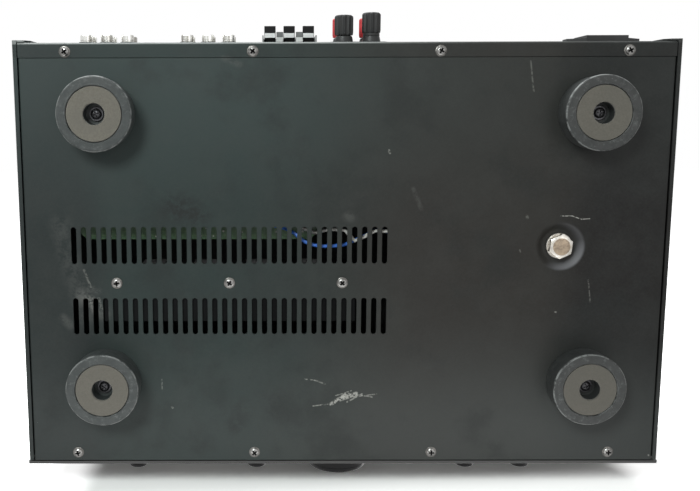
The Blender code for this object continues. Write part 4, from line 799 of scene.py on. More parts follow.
def drawn_nickel():
    """Bright nickel barrels with dark painted reflections streaked along their length, and duller patches.
    """
    look = Look("nickel", (0.7, 0.69, 0.66), 0.2, 1.0)
    # Noise stretched along the barrels: painted reflections in the colour, which the roughness follows too.
    painted_reflection_streaks = look.noise(300, 1, 0.4, look.vector("MULTIPLY", look.place, (1, 0.03, 1)))
    tone = look.mix(look.span(painted_reflection_streaks, 0.4, 0.58), (0.4, 0.39, 0.36), (0.72, 0.72, 0.69))
    tone = look.mix(look.drift(700, 3, 0.5, 0.75, 0.0, 0.15), tone, (0.38, 0.36, 0.31))
    look.finish(tone, look.span(painted_reflection_streaks, 0.3, 0.7, 0.34, 0.16), look.noise(900, 2), 0.000006)


def lined(look, scale, stretch, low, high, dark, light):
    """The fine lines of a drawn or rolled surface, and the tone that they give it."""
    lines = look.noise(scale, 4, 0.7, look.vector("MULTIPLY", look.place, stretch))
    return lines, look.mix(look.span(lines, low, high), dark, light)


def rolled_steel():
    """Zinc-plated sheet with its fine rolling lines."""
    look = Look("bracket_steel", (0.55, 0.55, 0.53), 0.38, 1.0)
    lines, tone = lined(look, 80, (1, 30, 30), 0.3, 0.7, (0.48, 0.48, 0.47), (0.6, 0.6, 0.57))
    tone = look.mix(look.drift(140, 2, 0.4, 0.7, 0.0, 0.4), tone, (0.44, 0.45, 0.46))
    look.finish(tone, look.span(lines, 0.2, 0.8, 0.28, 0.48), lines, 0.00002)


def extrusion():
    """Dark anodised aluminium with the lines of its die."""
    dull = (0.003, 0.0032, 0.0035)
    look = Look("aluminium", dull, 0.6, Specular_IOR_Level=0.05)
    lines, tone = lined(look, 60, (40, 40, 1), 0.25, 0.75, (0.0018, 0.002, 0.0022), dull)
    tone = look.mix(look.span(look.axes()[0], 0.03, 0.13), tone, (0.006, 0.0064, 0.0068))
    look.finish(tone, look.drift(90, 3, 0.3, 0.7, 0.52, 0.7), lines, 0.00002)


def panel_paint():
    """Fine-grained black lacquer of the front panel, drawn out along its length."""
    look = Look("panel_paint", (0.034, 0.034, 0.033), 0.4)
    lines, tone = lined(look, 90, (1, 25, 25), 0.25, 0.75, (0.028, 0.028, 0.028), (0.042, 0.042, 0.041))
    tone = look.mix(look.specks(240, 0.0002, 0.1, 0.3, 0.7), tone, (0.22, 0.22, 0.21))
    look.finish(tone, look.span(lines, 0.2, 0.8, 0.34, 0.46), lines, 0.000015)


def circuit_board():
    """Green board with darker tracks, pads and silver joints."""
    look = Look("board_green", (0.05, 0.16, 0.07), 0.4)
    weave = look.noise(1400, 2)
    sizes = {"Scale": 110, "Mortar Size": 0.13, "Mortar Smooth": 0.3, "Brick Width": 0.9, "Row Height": 0.3}
    tracks = node(look.tree, "TexBrick", {**sizes, "Vector": look.place}).outputs["Fac"]
    pads = look.specks(330, 0.0009, 0.35, 1.0, 0.05)
    tone = look.mix(look.span(weave, 0.3, 0.7), (0.05, 0.1, 0.04), (0.07, 0.135, 0.052))
    tone = look.coats(tone, (look.times(tracks, 0.6), (0.02, 0.065, 0.03)), (pads, (0.45, 0.45, 0.42)))
    height = look.plus(look.times(tracks, -0.5), pads)
    look.finish(tone, look.span(weave, 0.3, 0.7, 0.32, 0.5), height, 0.00008)


def winding():
    """Overlapping turns of amber polyester tape round the ring."""
    look = Look("winding_tape", (0.55, 0.38, 0.1), 0.3, Coat_Weight=0.3)
    x, y, z = look.axes(look.vector("SUBTRACT", look.place, (CORE_X, CORE_Y, 0)))
    slanted = look.plus(look.math("ARCTAN2", y, x), look.times(z, 6.0))
    saw = look.math("FRACT", look.times(slanted, 58 / math.tau))
    tone = look.mix(look.span(saw, 0.0, 1.0), (0.5, 0.34, 0.09), (0.62, 0.45, 0.14))
    tone = look.coats(tone, (look.span(saw, 0.1, 0.02), (0.26, 0.16, 0.05)),
                      (look.drift(50, 3, 0.3, 0.8, 0.0, 0.4), (0.42, 0.27, 0.07)))
    look.finish(tone, look.drift(160, 3, 0.3, 0.7, 0.22, 0.42), saw, 0.00025)


def sleeve(name, colour, light):
    """Insulated lead: drawn plastic with rub marks and dust."""
    look = Look(name, colour, 0.42)
    rubbed = look.noise(300, 4, 0.7)
    tone = look.mix(look.span(rubbed, 0.4, 0.8, 0.0, 0.6), colour, light)
    look.finish(tone, look.span(rubbed, 0.3, 0.7, 0.35, 0.55), look.noise(1200, 2), 0.00003)


case_paint()
panel_paint()
rolled_steel()
foot_rubber()
inlay_grey()
drawn_nickel()
extrusion()
circuit_board()
winding()
steel("black_zinc", (0.075, 0.075, 0.08), 0.38, (0.03, 0.03, 0.03), 0.6)
steel("bare_steel", (0.62, 0.6, 0.56), 0.3, (0.33, 0.29, 0.23), 0.75)
steel("worn_face", (0.36, 0.29, 0.215), 0.42, (0.17, 0.135, 0.105), 0.95)
steel("screw_steel", (0.26, 0.257, 0.25), 0.26, (0.1, 0.097, 0.09), 0.85)
# grime_and_shade_steel: the darker rim round the plate screws' heads, partly grime and partly painted shade
steel("grime_and_shade_steel", (0.16, 0.155, 0.145), 0.45, (0.05, 0.05, 0.048), 0.9)
mottled("black_plastic", (0.026, 0.027, 0.027), 0.45, sheen=0.3)
mottled("knob_plastic", (0.012, 0.012, 0.0125), 0.42, grain=2200, depth=0.00001, sheen=0.25)
mottled("grey_plastic", (0.27, 0.275, 0.275), 0.5, spread=0.15, grain=900)
mottled("red_plastic", (0.5, 0.03, 0.035), 0.36, spread=0.2, patch=90)
mottled("capacitor_sleeve", (0.012, 0.014, 0.024), 0.28, patch=25)
mottled("dial_print", (0.42, 0.42, 0.41), 0.6, spread=0.12, grain=2500, patch=300)
# dark_recess: near-black paint standing for shade in recesses and openings
mottled("dark_recess", (0.006, 0.006, 0.006), 0.9, sheen=0.1)
mottled("pale_band", (0.74, 0.75, 0.75), 0.35, spread=0.12, patch=120)
mottled("lever_black", (0.006, 0.006, 0.0065), 0.45, sheen=0.15)
# pale_rib and dark_rib: one grey plastic, painted as lit and as shaded
mottled("pale_rib", (0.62, 0.63, 0.62), 0.4, spread=0.15, patch=120)
mottled("dark_rib", (0.125, 0.13, 0.13), 0.45, spread=0.15, patch=120)
sleeve("blue_sleeve", (0.04, 0.16, 0.62), (0.1, 0.28, 0.72))
sleeve("white_sleeve", (0.5, 0.5, 0.47), (0.33, 0.33, 0.3))


# Camera, light and stage

def make_camera():
    """A fixed view up at the underside; the shift is the photograph's own framing."""
    data = bpy.data.cameras.new("camera")
    data.lens = 41.838
    data.sensor_width = 36
    data.shift_x = 0.1187
    data.shift_y = -0.0363
    data.clip_start = 0.01
    data.clip_end = 20
    item = bpy.data.objects.new("camera", data)
    right = Vector((-0.999991, -0.002479, 0.003405))
    up = Vector((-0.002002, 0.991055, 0.133442))
    back = Vector((-0.003706, 0.133434, -0.991051))
    turn = Matrix((right, up, back)).transposed().to_4x4()
    item.matrix_world = Matrix.Translation((0.0495, 0.0982, -0.5132)) @ turn
    SCENE.collection.objects.link(item)
    SCENE.camera = item


def lamp(name, place, target, size, watts, colour):
    """A soft rectangular lamp that faces a point."""
    data = bpy.data.lights.new(name, "AREA")
    data.shape = "RECTANGLE"
    data.size, data.size_y = size
    data.energy = watts
    data.color = colour
    item = bpy.data.objects.new(name, data)
    away = Vector(place) - Vector(target)
    item.matrix_world = Matrix.Translation(place) @ away.to_track_quat("Z", "Y").to_matrix().to_4x4()
    item.visible_camera = False
    SCENE.collection.objects.link(item)


def make_world():
    """White where the camera or a reflection looks, and a plain soft level for the light it gives."""
    world = bpy.data.worlds.new("studio")
    SCENE.world = world
    world.use_nodes = True
    tree = world.node_tree
    rays = node(tree, "LightPath").outputs
    seen = rays["Is Camera Ray"]
    for kind in ("Is Transmission Ray", "Is Glossy Ray"):
        seen = node(tree, "Math", {0: seen, 1: rays[kind]}, operation="MAXIMUM").outputs[0]
    level = node(tree, "MapRange", {"Value": seen, "To Min": 0.24, "To Max": 1.0})
    background = tree.nodes["Background"].inputs
    feed(background["Color"], (1, 1, 1))
    feed(background["Strength"], level.outputs["Result"])


def faded(tree, lift, fades):
    """How much a stage surface glows: lift near the object, and more where the fades say."""
    place = node(tree, "TexCoord").outputs["Object"]
    level = lift
    for way, low, high, most in fades:
        along = node(tree, "VectorMath", {0: place, 1: way}, operation="DOT_PRODUCT").outputs["Value"]
        sizes = {"From Min": low, "From Max": high, "To Min": lift, "To Max": most, "Value": along}
        step = node(tree, "MapRange", sizes, interpolation_type="SMOOTHSTEP").outputs["Result"]
        level = node(tree, "Math", {0: level, 1: step}, operation="MAXIMUM").outputs[0]
    return level


def one_sided(name, colour, gain, lift, fades):
    """A pale matt surface that is seen from its front only, and paler to the camera.

    Each fade is a direction, where the surface starts to glow, where it glows most, and how much.
    """
    made = bpy.data.materials.new(name)
    made.use_nodes = True
    tree = made.node_tree
    tree.nodes.clear()
    camera = node(tree, "LightPath").outputs["Is Camera Ray"]
    paler = tuple(part * gain for part in colour)
    tone = node(tree, "Mix", {0: camera, 6: colour, 7: paler}, data_type="RGBA").outputs[2]
    matt = node(tree, "BsdfDiffuse", {"Color": tone}).outputs[0]
    level = node(tree, "Math", {0: camera, 1: faded(tree, lift, fades)}, operation="MULTIPLY").outputs[0]
    glow = node(tree, "Emission", {"Strength": level}).outputs[0]
    both = node(tree, "AddShader", {0: matt, 1: glow}).outputs[0]
    clear = node(tree, "BsdfTransparent").outputs[0]
    behind = node(tree, "NewGeometry").outputs["Backfacing"]
    chosen = node(tree, "MixShader", {0: behind, 1: both, 2: clear}).outputs[0]
    node(tree, "OutputMaterial", {"Surface": chosen})
    return made


def sheet_of_stage(name, corners, look):
    shape = bmesh.new()
    shape.faces.new([shape.verts.new(corner) for corner in corners])
    item = shown(name, shape)
    item.data.materials.append(look)
    item.visible_shadow = False
    item.visible_diffuse = False
    item.visible_glossy = False


def make_stage():
    """The table that the photographed object stands on, ahead of its knobs, and a floor under the feet."""
    reach = 3.0
    wall = FRONT_Y - VOLUME_REACH - 0.0006
    pale = (0.93, 0.93, 0.92)
    # The table's glow is shaped by place: low along the object's front edge, higher towards the camera,
    # higher up and past both ends; painted light that sets the reach of the object's shadow.
    table_painted_light = (((0, 0, 1), 0.07, 0.16, 0.75), ((0.1, 0, 1), 0.046, 0.01, 0.32),
                   ((1, 0, 0), 0.17, 0.195, 0.75), ((-1, 0, 0), 0.195, 0.225, 0.7))
    floor_fades = [(way, 0.5, 1.2, 1.0) for way in ((1, 0, 0), (-1, 0, 0), (0, 1, 0), (0, -1, 0))]
    sheet_of_stage("table", [(reach, wall, -reach), (-reach, wall, -reach), (-reach, wall, reach),
                             (reach, wall, reach)], one_sided("table_look", pale, 1.5, 0.0, table_painted_light))
    sheet_of_stage("floor", [(-reach, -reach, 0), (reach, -reach, 0), (reach, reach, 0),
                             (-reach, reach, 0)], one_sided("floor_look", pale, 1.15, 0.12, floor_fades))


SCENE.view_settings.view_transform = "Standard"
make_camera()
make_world()
make_stage()
lamp("key", (0.56, 0.78, -1.05), (0, 0, 0.02), (0.5, 0.4), 14.0, (0.94, 1.0, 0.985))
lamp("fill", (-0.75, 0.45, -1.2), (0, 0, 0.02), (0.9, 0.9), 2.4, (1.0, 0.975, 0.94))
lamp("bounce", (0.05, -0.162, -0.1), (0.05, 0.2, -0.1), (0.55, 0.16), 0.35, (1.0, 1.0, 0.99))
lamp("overhead", (-0.55, -0.75, 1.25), (0, 0, 0.06), (1.2, 1.0), 11.0, (1.0, 0.99, 0.97))
lamp("back", (0.3, 1.15, 0.25), (0, 0, 0.06), (0.8, 0.5), 14.0, (0.97, 0.99, 1.0))


# Case

def slot_outline(x, y, length, extra, steps=8):
    straight = (length - SLOT_WIDTH) / 2
    radius = SLOT_WIDTH / 2 + extra
    return arc((x, y + straight), radius, 0, 180, steps) + arc((x, y - straight), radius, 180, 360, steps)


def slot_cutters(xs, y, length, outer, inner):
    """Round-ended slots whose edges are slightly broken on the outer face."""
    way = 1 if inner > outer else -1
    made = []
    for x in xs:
        wide = slot_outline(x, y, length, SLOT_EDGE * 2)
        plain = slot_outline(x, y, length, 0)
        made.append(loft("slot", [(wide, outer - way * SLOT_EDGE), (plain, outer + way * SLOT_EDGE),
                                  (plain, inner + way * OVERRUN)]))
    return joined(made)


def dish_wall(extra, steps=14):
    points = []
    for step in range(steps + 1):
        share = step / steps
        soft = share * share * (3 - 2 * share)
        radius = DISH_FLAT_RADIUS + (DISH_RADIUS - DISH_FLAT_RADIUS) * share
        points.append((radius + extra, DISH_DEPTH * (1 - soft) + extra))
    return points


def bottom_plate():
    """The vented tray with its flanges, stepped rear lip and pressed dish."""
    top = PLATE_Z + PLATE_SIDE_FLANGE
    corners = [(PLATE_HALF, top), (PLATE_HALF, PLATE_Z), (-PLATE_HALF, PLATE_Z), (-PLATE_HALF, top)]
    plate = bent_sheet("plate", rounded_path(corners, PLATE_BEND, 6), "XZ", FRONT_Y, PLATE_END_Y)
    inside = PLATE_HALF - SHEET / 2
    middle = PLATE_Z + SHEET / 2
    flange = block("front_flange", (-inside, FRONT_Y, middle),
                   (inside, FRONT_Y + SHEET, PLATE_Z + PLATE_FRONT_FLANGE))
    step = PLATE_TOP_Z + GAP
    start = PLATE_END_Y - JOGGLE_LENGTH
    end = REAR_FACE_Y - SHEET * 2
    outline = [(start, middle), (PLATE_END_Y - SHEET * 2, middle), (PLATE_END_Y - SHEET, step), (end, step),
               (end, step + SHEET), (start, step + SHEET)]
    lip = prism("rear_lip", outline, "YZ", -inside, inside)
    centre = (CORE_X, CORE_Y, PLATE_Z)
    wall = dish_wall(SHEET)
    boss = lathe("boss", [(0, wall[0][1]), *wall[:-1], (wall[-1][0], SHEET / 2), (0, SHEET / 2)],
                 centre, UPRIGHT, 72)
    add(plate, flange, lip, boss)
    recess = lathe("recess", [(0, DISH_DEPTH), *dish_wall(0), (DISH_RADIUS, -OVERRUN), (0, -OVERRUN)],
                   centre, UPRIGHT, 72)
    xs = row_of(SLOT_FIELD_X, SLOT_COUNT, SLOT_PITCH)
    rows = [slot_cutters(xs, y, SLOT_LENGTH, PLATE_Z, PLATE_TOP_Z)
            for y in row_of(SLOT_FIELD_Y, 2, SLOT_ROW_SPACING)]
    holes = [rods([centre], BOLT_RADIUS + SLACK, -OVERRUN, DISH_DEPTH + OVERRUN)]
    for places, radius in (([(x, y) for x, y, z in FEET.values()], FOOT_SCREW_RADIUS + SLACK),
                           ([(x, SINK_SCREW_Y) for x in SINK_SCREW_XS], SINK_SCREW_RADIUS + SLACK),
                           ([(x, EDGE_SCREW_YS["front"]) for x in EDGE_SCREW_XS], EDGE_SCREW_RADIUS)):
        holes.append(rods([(x, y, PLATE_Z) for x, y in places], radius, -OVERRUN, SHEET + OVERRUN))
    cut(plate, recess, *rows, *holes)
    dress(plate, "case_paint", "bottom_plate")


def rear_panel():
    """The folded rear panel with its cut-outs."""
    corners = [(SEAM_Y, PLATE_Z), (REAR_FACE_Y, PLATE_Z), (REAR_FACE_Y, TOP_Z - SHEET - GAP)]
    panel = bent_sheet("rear_sheet", rounded_path(corners, PLATE_BEND, 6), "YZ", -PLATE_HALF, PLATE_HALF)
    jacks = [centre for group in JACK_GROUP_XS for centre in jack_centres(group, REAR_FACE_Y)]
    inside = REAR_FACE_Y - SHEET - OVERRUN
    outside = REAR_FACE_Y + OVERRUN
    screws = [(x, EDGE_SCREW_YS["rear"], PLATE_Z) for x in EDGE_SCREW_XS]
    cut(panel,
        rods(jacks, JACK_COLLAR_RADIUS + GAP * 2, -SHEET - OVERRUN, OVERRUN, FACE_REAR),
        slab("push_hole", PUSH_X, PUSH_LOW_Z + PUSH_TALL / 2, PUSH_HALF + GAP,
             PUSH_TALL / 2 - PUSH_SHOULDER + GAP, inside, outside),
        rods(POSTS.values(), COLLAR_TOP_RADIUS + GAP, -SHEET - OVERRUN, OVERRUN, FACE_REAR),
        slab("inlet_hole", INLET_X, INLET_Z, CAVITY_HALF + INLET_WALL + GAP,
             CAVITY_TALL + INLET_WALL + GAP, inside, outside),
        rods(screws, EDGE_SCREW_RADIUS, -OVERRUN, SHEET + GAP / 2))
    dress(panel, "case_paint", "rear_panel")


def top_cover():
    """The folded cover: lips, rear flanges and vent slots."""
    lip = HALF_WIDTH - COVER_LIP
    corners = [(-lip, PLATE_Z), (-HALF_WIDTH, PLATE_Z), (-HALF_WIDTH, TOP_Z), (HALF_WIDTH, TOP_Z),
               (HALF_WIDTH, PLATE_Z), (lip, PLATE_Z)]
    cover = bent_sheet("cover", rounded_path(corners, COVER_BEND, 8), "XZ", FRONT_Y, REAR_Y)
    outer = HALF_WIDTH - SHEET / 2
    inner = HALF_WIDTH - COVER_REAR_FLANGE
    low = PLATE_Z + SHEET / 2
    high = TOP_Z - SHEET / 2
    under = TOP_Z - COVER_REAR_FLANGE
    chamfer = 0.004
    outline = [(-outer, low), (-inner - chamfer, low), (-inner, low + chamfer), (-inner, under),
               (inner, under), (inner, low + chamfer), (inner + chamfer, low), (outer, low),
               (outer, high), (-outer, high)]
    add(cover, prism("rear_flange", outline, "XZ", REAR_Y - SHEET, REAR_Y))
    cut(cover, *(slot_cutters(row_of(x, count, TOP_SLOT_PITCH), y, length, TOP_Z, TOP_Z - SHEET)
                 for x, y, length, count in TOP_SLOT_ROWS))
    dress(cover, "case_paint", "top_cover")


def front_panel():
    """The thick front panel with rounded front edges, and its openings."""
    shape = bmesh.new()
    bmesh.ops.create_cube(shape, size=1.0)
    stretch = Matrix.Diagonal((*(PANEL_HIGH - PANEL_LOW), 1.0))
    place = Matrix.Translation((PANEL_LOW + PANEL_HIGH) / 2)
    bmesh.ops.transform(shape, matrix=place @ stretch, verts=shape.verts)
    middle = (PANEL_FACE_Y + PANEL_BACK_Y) / 2
    edges = [edge for edge in shape.edges if min(v.co.y for v in edge.verts) < middle]
    bmesh.ops.bevel(shape, geom=edges, offset=0.0009, segments=6, profile=0.5, affect="EDGES")
    panel = keep("front_face", shape)
    through = PANEL_BACK_Y - PANEL_FACE_Y + OVERRUN
    bushes = [(x, PANEL_BACK_Y, z) for x, z, reach, count in CONTROLS.values()]
    cut(panel, rods(bushes, BUSH_RADIUS + GAP * 2, -OVERRUN, through, FACE_FRONT),
        rods([(SOCKET_X, PANEL_BACK_Y, SMALL_KNOB_Z)], SOCKET_NOSE_RADIUS + GAP, -OVERRUN, through,
             FACE_FRONT),
        slab("button", BUTTON_X, SMALL_KNOB_Z, BUTTON_WIDTH / 2 + SLACK,
             BUTTON_HEIGHT / 2 + SLACK, PANEL_FACE_Y - OVERRUN, PANEL_BACK_Y + OVERRUN))
    dress(panel, "panel_paint", "front_panel")


def dial_marks():
    """A ring of printed strokes round each dial."""
    strokes = []
    for name, (x, z, reach, count) in CONTROLS.items():
        radius = knob_sizes(name)[0] + TICK_GAP
        for index in range(count):
            angle = math.radians(-reach + 2 * reach * index / (count - 1))
            end = radius + (0.0027 if index % 5 == 0 else 0.0018)
            stroke = block("dial_marks", (-TICK_WIDTH / 2, -TICK_HEIGHT, radius), (TICK_WIDTH / 2, 0, end))
            stroke.data.transform(Matrix.Translation((x, PANEL_FACE_Y, z)) @ Matrix.Rotation(angle, 4, "Y"))
            strokes.append(stroke)
    dress(joined(strokes), "dial_print")


# Screws, feet and bolt

def dome_drop(radius, height, at):
    """How far a pan head of this size has fallen away at a radius."""
    return height * 0.62 * (at / radius) ** 3.2


def pan_profile(radius, height, seat=0.0, steps=8):
    """The domed outline of a pan head, from its middle down its side."""
    radii = [radius * step / steps for step in range(steps + 1)]
    return [(at, seat + height - dome_drop(radius, height, at)) for at in radii] + [(radius, seat)]


def cut_cross(screw, sizes, at, facing, turn):
    """Cut a cross recess that narrows towards its bottom."""
    width, length, depth = sizes
    for across, along in ((width / 2, length / 2), (length / 2, width / 2)):
        layers = []
        for scale, height in ((0.45, -depth), (1.0, 0), (1.12, depth)):
            a, b = across * scale, along * scale
            layers.append(([(-a, -b), (a, -b), (a, b), (-a, b)], height))
        bar = loft("bar", layers)
        bar.data.transform(Matrix.Translation(at) @ facing @ Matrix.Rotation(turn, 4, "Z"))
        cut(screw, bar)


def plate_screw(name, x, y, turn, radius, end, dome=PAN_HEIGHT, seat=0.0, replaced=None):
    """A cross-head screw that bears on the plate from below, with painted shade in its cross recess and a
    darker rim round its head that is partly grime and partly painted shade.
    """
    centre = Vector((x, y, PLATE_Z))
    profile = pan_profile(PAN_RADIUS, dome, seat + RING_HEIGHT)
    profile += [(RING_RADIUS * 0.93, seat + RING_HEIGHT * 0.85), (RING_RADIUS, seat + RING_HEIGHT * 0.5),
                (RING_RADIUS, seat), (radius, seat), (radius, end), (0, end)]
    screw = lathe(name, profile, centre, FACE_DOWN, 48)
    top = centre - Vector((0, 0, seat + RING_HEIGHT + dome))
    cut_cross(screw, SCREW_CROSS, top, FACE_DOWN, math.radians(turn))

    def in_cross(at):
        far = (at.xy - top.xy).length
        below = at.z - top.z - dome_drop(PAN_RADIUS, dome, far)
        return far < PAN_RADIUS * 0.9 and below > SCREW_CROSS[2] / 10

    # Painted shade in the cross recess, then a darker rim that is partly grime and partly painted shade.
    part_look(screw, "screw_steel", "dark_recess", in_cross)
    part_look(screw, "screw_steel", "grime_and_shade_steel", lambda at: (at.xy - top.xy).length > PAN_RADIUS * 0.97)
    dress(screw, "bare_steel", replaced)


def plate_screws():
    """The eight screws of the bottom's edges, and the three that hold the heat sink."""
    for row, y in EDGE_SCREW_YS.items():
        for number, x in enumerate(EDGE_SCREW_XS, 1):
            plate_screw("edge_screw_%s_%d" % (row, number), x, y, EDGE_SCREW_TURNS[row][number - 1],
                        EDGE_SCREW_RADIUS * 0.9, -SHEET * 0.9)
    for number, x in enumerate(SINK_SCREW_XS, 1):
        plate_screw("sink_screw_%d" % number, x, SINK_SCREW_Y, SINK_SCREW_TURNS[number - 1],
                    SINK_SCREW_RADIUS, -SHEET - GAP - SINK_SCREW_DEPTH, SINK_HEAD_HEIGHT - RING_HEIGHT,
                    GAP, "heat_sink_screw_%d" % number)


def feet():
    """Turned feet with their felt discs and sunk screws."""
    top = PLATE_Z - GAP
    hole = FOOT_SCREW_RADIUS + SLACK
    pocket = INLAY_RADIUS + INLAY_GROOVE
    bore = 0.0068
    pocket_top = INLAY_THICKNESS + GAP
    foot_profile = [
        (FOOT_TOP_RADIUS, top), *arc((FOOT_RADIUS - FOOT_EDGE, FOOT_EDGE), FOOT_EDGE, 0, -90, 7),
        (pocket + BREAK, 0), (pocket, BREAK), (pocket, pocket_top), (bore, pocket_top),
        (bore, COUNTERBORE_DEPTH), (hole, COUNTERBORE_DEPTH), (hole, top),
    ]
    soft = 0.0008
    inlay_profile = [
        (INLAY_RADIUS, INLAY_THICKNESS),
        *arc((INLAY_RADIUS - WIDE_BREAK, INLAY_INSET + WIDE_BREAK), WIDE_BREAK, 0, -90, 4),
        *arc((bore + soft, INLAY_INSET + soft), soft, -90, -180, 6), (bore, INLAY_THICKNESS),
    ]
    seat = COUNTERBORE_DEPTH - GAP
    head = seat - FOOT_SCREW_FLANGE
    end = PLATE_TOP_Z + FOOT_SCREW_ABOVE_PLATE
    dome = pan_profile(FOOT_SCREW_HEAD_RADIUS, FOOT_SCREW_HEAD)
    screw_profile = [(0, end), (FOOT_SCREW_RADIUS, end), (FOOT_SCREW_RADIUS, seat),
                     (FOOT_WASHER_RADIUS, seat), (FOOT_WASHER_RADIUS, head + FINE_BREAK),
                     (FOOT_WASHER_RADIUS - FINE_BREAK, head),
                     *((radius, head - height) for radius, height in reversed(dome))]
    for number, (corner, centre) in enumerate(FEET.items()):
        foot = lathe("moulded_foot_" + corner, foot_profile, centre, UPRIGHT, 96, True)
        dress(foot, "foot_rubber", "foot_" + corner)
        disc = lathe("felt_disc_" + corner, inlay_profile, centre, UPRIGHT, 96, True)
        dress(disc, "inlay_grey", "foot_inlay_" + corner)
        screw = lathe("sunk_screw_" + corner, screw_profile, centre, UPRIGHT, 40)
        face = Vector(centre) + Vector((0, 0, head - FOOT_SCREW_HEAD))
        cut_cross(screw, FOOT_SCREW_CROSS, face, FACE_DOWN, math.radians(20 + number * 31))
        dress(screw, "black_zinc", "foot_screw_" + corner)


def chamfered_hexagon(low, high):
    """A hexagon on the transformer's axis, whose corners are turned down at its lower end."""
    wide = BOLT_ACROSS_FLATS / 2 / math.cos(math.pi / 6)
    turns = [math.tau * k / 6 + BOLT_TURN for k in range(6)]
    outline = [(CORE_X + wide * math.cos(turn), CORE_Y + wide * math.sin(turn)) for turn in turns]
    limit = [(0, high + OVERRUN), (wide + OVERRUN, high + OVERRUN), (wide + OVERRUN, low + BOLT_CHAMFER),
             (wide, low + BOLT_CHAMFER), (BOLT_FACE_RADIUS, low), (0, low)]
    turned = lathe("turned", limit, (CORE_X, CORE_Y, 0), UPRIGHT, 64)
    return combine(prism("hexagon", outline, "XY", low, high), [turned], "INTERSECT")


def transformer_bolt():
    """The bolt through the transformer with its washer face and nut."""
    under = PLATE_Z + DISH_DEPTH - GAP
    flange = under - BOLT_FLANGE
    washer = PLATE_TOP_Z + GAP * 2 + CORE_HEIGHT - CLAMP_DISH + CLAMP_SHEET
    end = washer + BOLT_END_ABOVE_WASHER
    profile = [(0, end), (BOLT_RADIUS - BOLT_TIP_CHAMFER, end), (BOLT_RADIUS, end - BOLT_TIP_CHAMFER),
               (BOLT_RADIUS, under), (BOLT_FLANGE_RADIUS, under), (BOLT_FLANGE_RADIUS, flange + WIDE_BREAK),
               (BOLT_FLANGE_RADIUS - WIDE_BREAK, flange), (0, flange)]
    bolt = lathe("ring_bolt", profile, (CORE_X, CORE_Y, 0), UPRIGHT, 64)
    lowest = flange - BOLT_HEAD
    nut = washer + GAP
    add(bolt, chamfered_hexagon(lowest, flange + BOLT_FLANGE / 2), chamfered_hexagon(nut, nut + BOLT_HEAD))
    soften(bolt, FINE_BREAK)
    part_look(bolt, "bare_steel", "worn_face", lambda at: at.z < lowest + SLOT_EDGE)
    dress(bolt, "bare_steel", "transformer_bolt")


# Controls

def knob_sizes(name):
    """Radius, rounding, reach from the case's front, and sides."""
    return (0.0215, 0.0016, VOLUME_REACH, 96) if name == "volume" else (0.0065, 0.0007, 0.018, 64)


def knobs():
    """Each dial with its shaft, a rounded face edge, a fine turned groove and a sunk pointer."""
    shaft_end = PANEL_FACE_Y - BRACKET_Y - SHEET - POT_BORE_DEPTH + SLACK
    half = POINTER_HALF
    for name, (x, z, turn, count) in CONTROLS.items():
        radius, edge, reach, sides = knob_sizes(name)
        face = reach - (FRONT_Y - PANEL_FACE_Y)
        at = face - edge - KNOB_GROOVE_BACK
        profile = [(0, face - KNOB_DIP), (radius * 0.55, face - KNOB_DIP), (radius * 0.8, face),
                   *arc((radius - edge, face - edge), edge, 90, 0, 6), (radius, at),
                   (radius - KNOB_GROOVE, at - KNOB_GROOVE), (radius, at - 2 * KNOB_GROOVE),
                   (radius, KNOB_BACK_GAP + BREAK), (radius - BREAK, KNOB_BACK_GAP),
                   (SHAFT_RADIUS, KNOB_BACK_GAP), (SHAFT_RADIUS, shaft_end), (0, shaft_end)]
        knob = lathe(name + "_dial", profile, (x, PANEL_FACE_Y, z), FACE_FRONT, sides)
        front = PANEL_FACE_Y - face
        floor = front + POINTER_DEPTH
        cut(knob, block("pointer", (x - half, front - OVERRUN, z + radius / 2),
                        (x + half, floor, z + radius + OVERRUN)))
        dress(knob, "knob_plastic", name + "_knob", name + "_knob")
        fill = block(name + "_pointer_fill", (x - half, front + POINTER_DEPTH * 0.4, z + radius / 2),
                     (x + half, floor, z + radius - edge))
        dress(fill, "dial_print", body=name + "_knob")


def headphone_socket():
    """The socket with its turned nose and hollow body."""
    x, z = SOCKET_X, SMALL_KNOB_Z
    seat = BRACKET_Y + SHEET + GAP
    half = SOCKET_BODY_HALF
    body = soften(slab("jack_body", x, z, half, half, seat, seat + SOCKET_BODY_LENGTH), 0.0005)
    rim = GAP + SOCKET_RIM
    back = PANEL_FACE_Y - seat - SHEET
    edge = SOCKET_RIM / 2
    profile = [(0, rim), *arc((SOCKET_RIM_RADIUS - edge, rim - edge), edge, 90, 0, 5),
               (SOCKET_RIM_RADIUS, GAP), (SOCKET_NOSE_RADIUS, GAP), (SOCKET_NOSE_RADIUS, back),
               (0, back)]
    centre = (x, PANEL_FACE_Y, z)
    add(body, lathe("nose", profile, centre, FACE_FRONT, 56))
    front = seat + SOCKET_FACE_WALL
    bore = rods([centre], SOCKET_BORE_RADIUS, PANEL_FACE_Y - front - OVERRUN, OVERRUN, FACE_FRONT, 40)
    wide = SOCKET_CAVITY_HALF
    cut(body, add(bore, slab("cavity", x, z, wide, wide, front, PANEL_FACE_Y + SOCKET_DEPTH)))
    dress(body, "black_plastic", "headphone_socket")


# Rear connectors

def jack_centres(group_x, y):
    return [(x, y, z) for z in (JACK_LOW_Z, JACK_LOW_Z + JACK_PITCH)
            for x in row_of(group_x, JACK_COLUMNS, JACK_PITCH)]


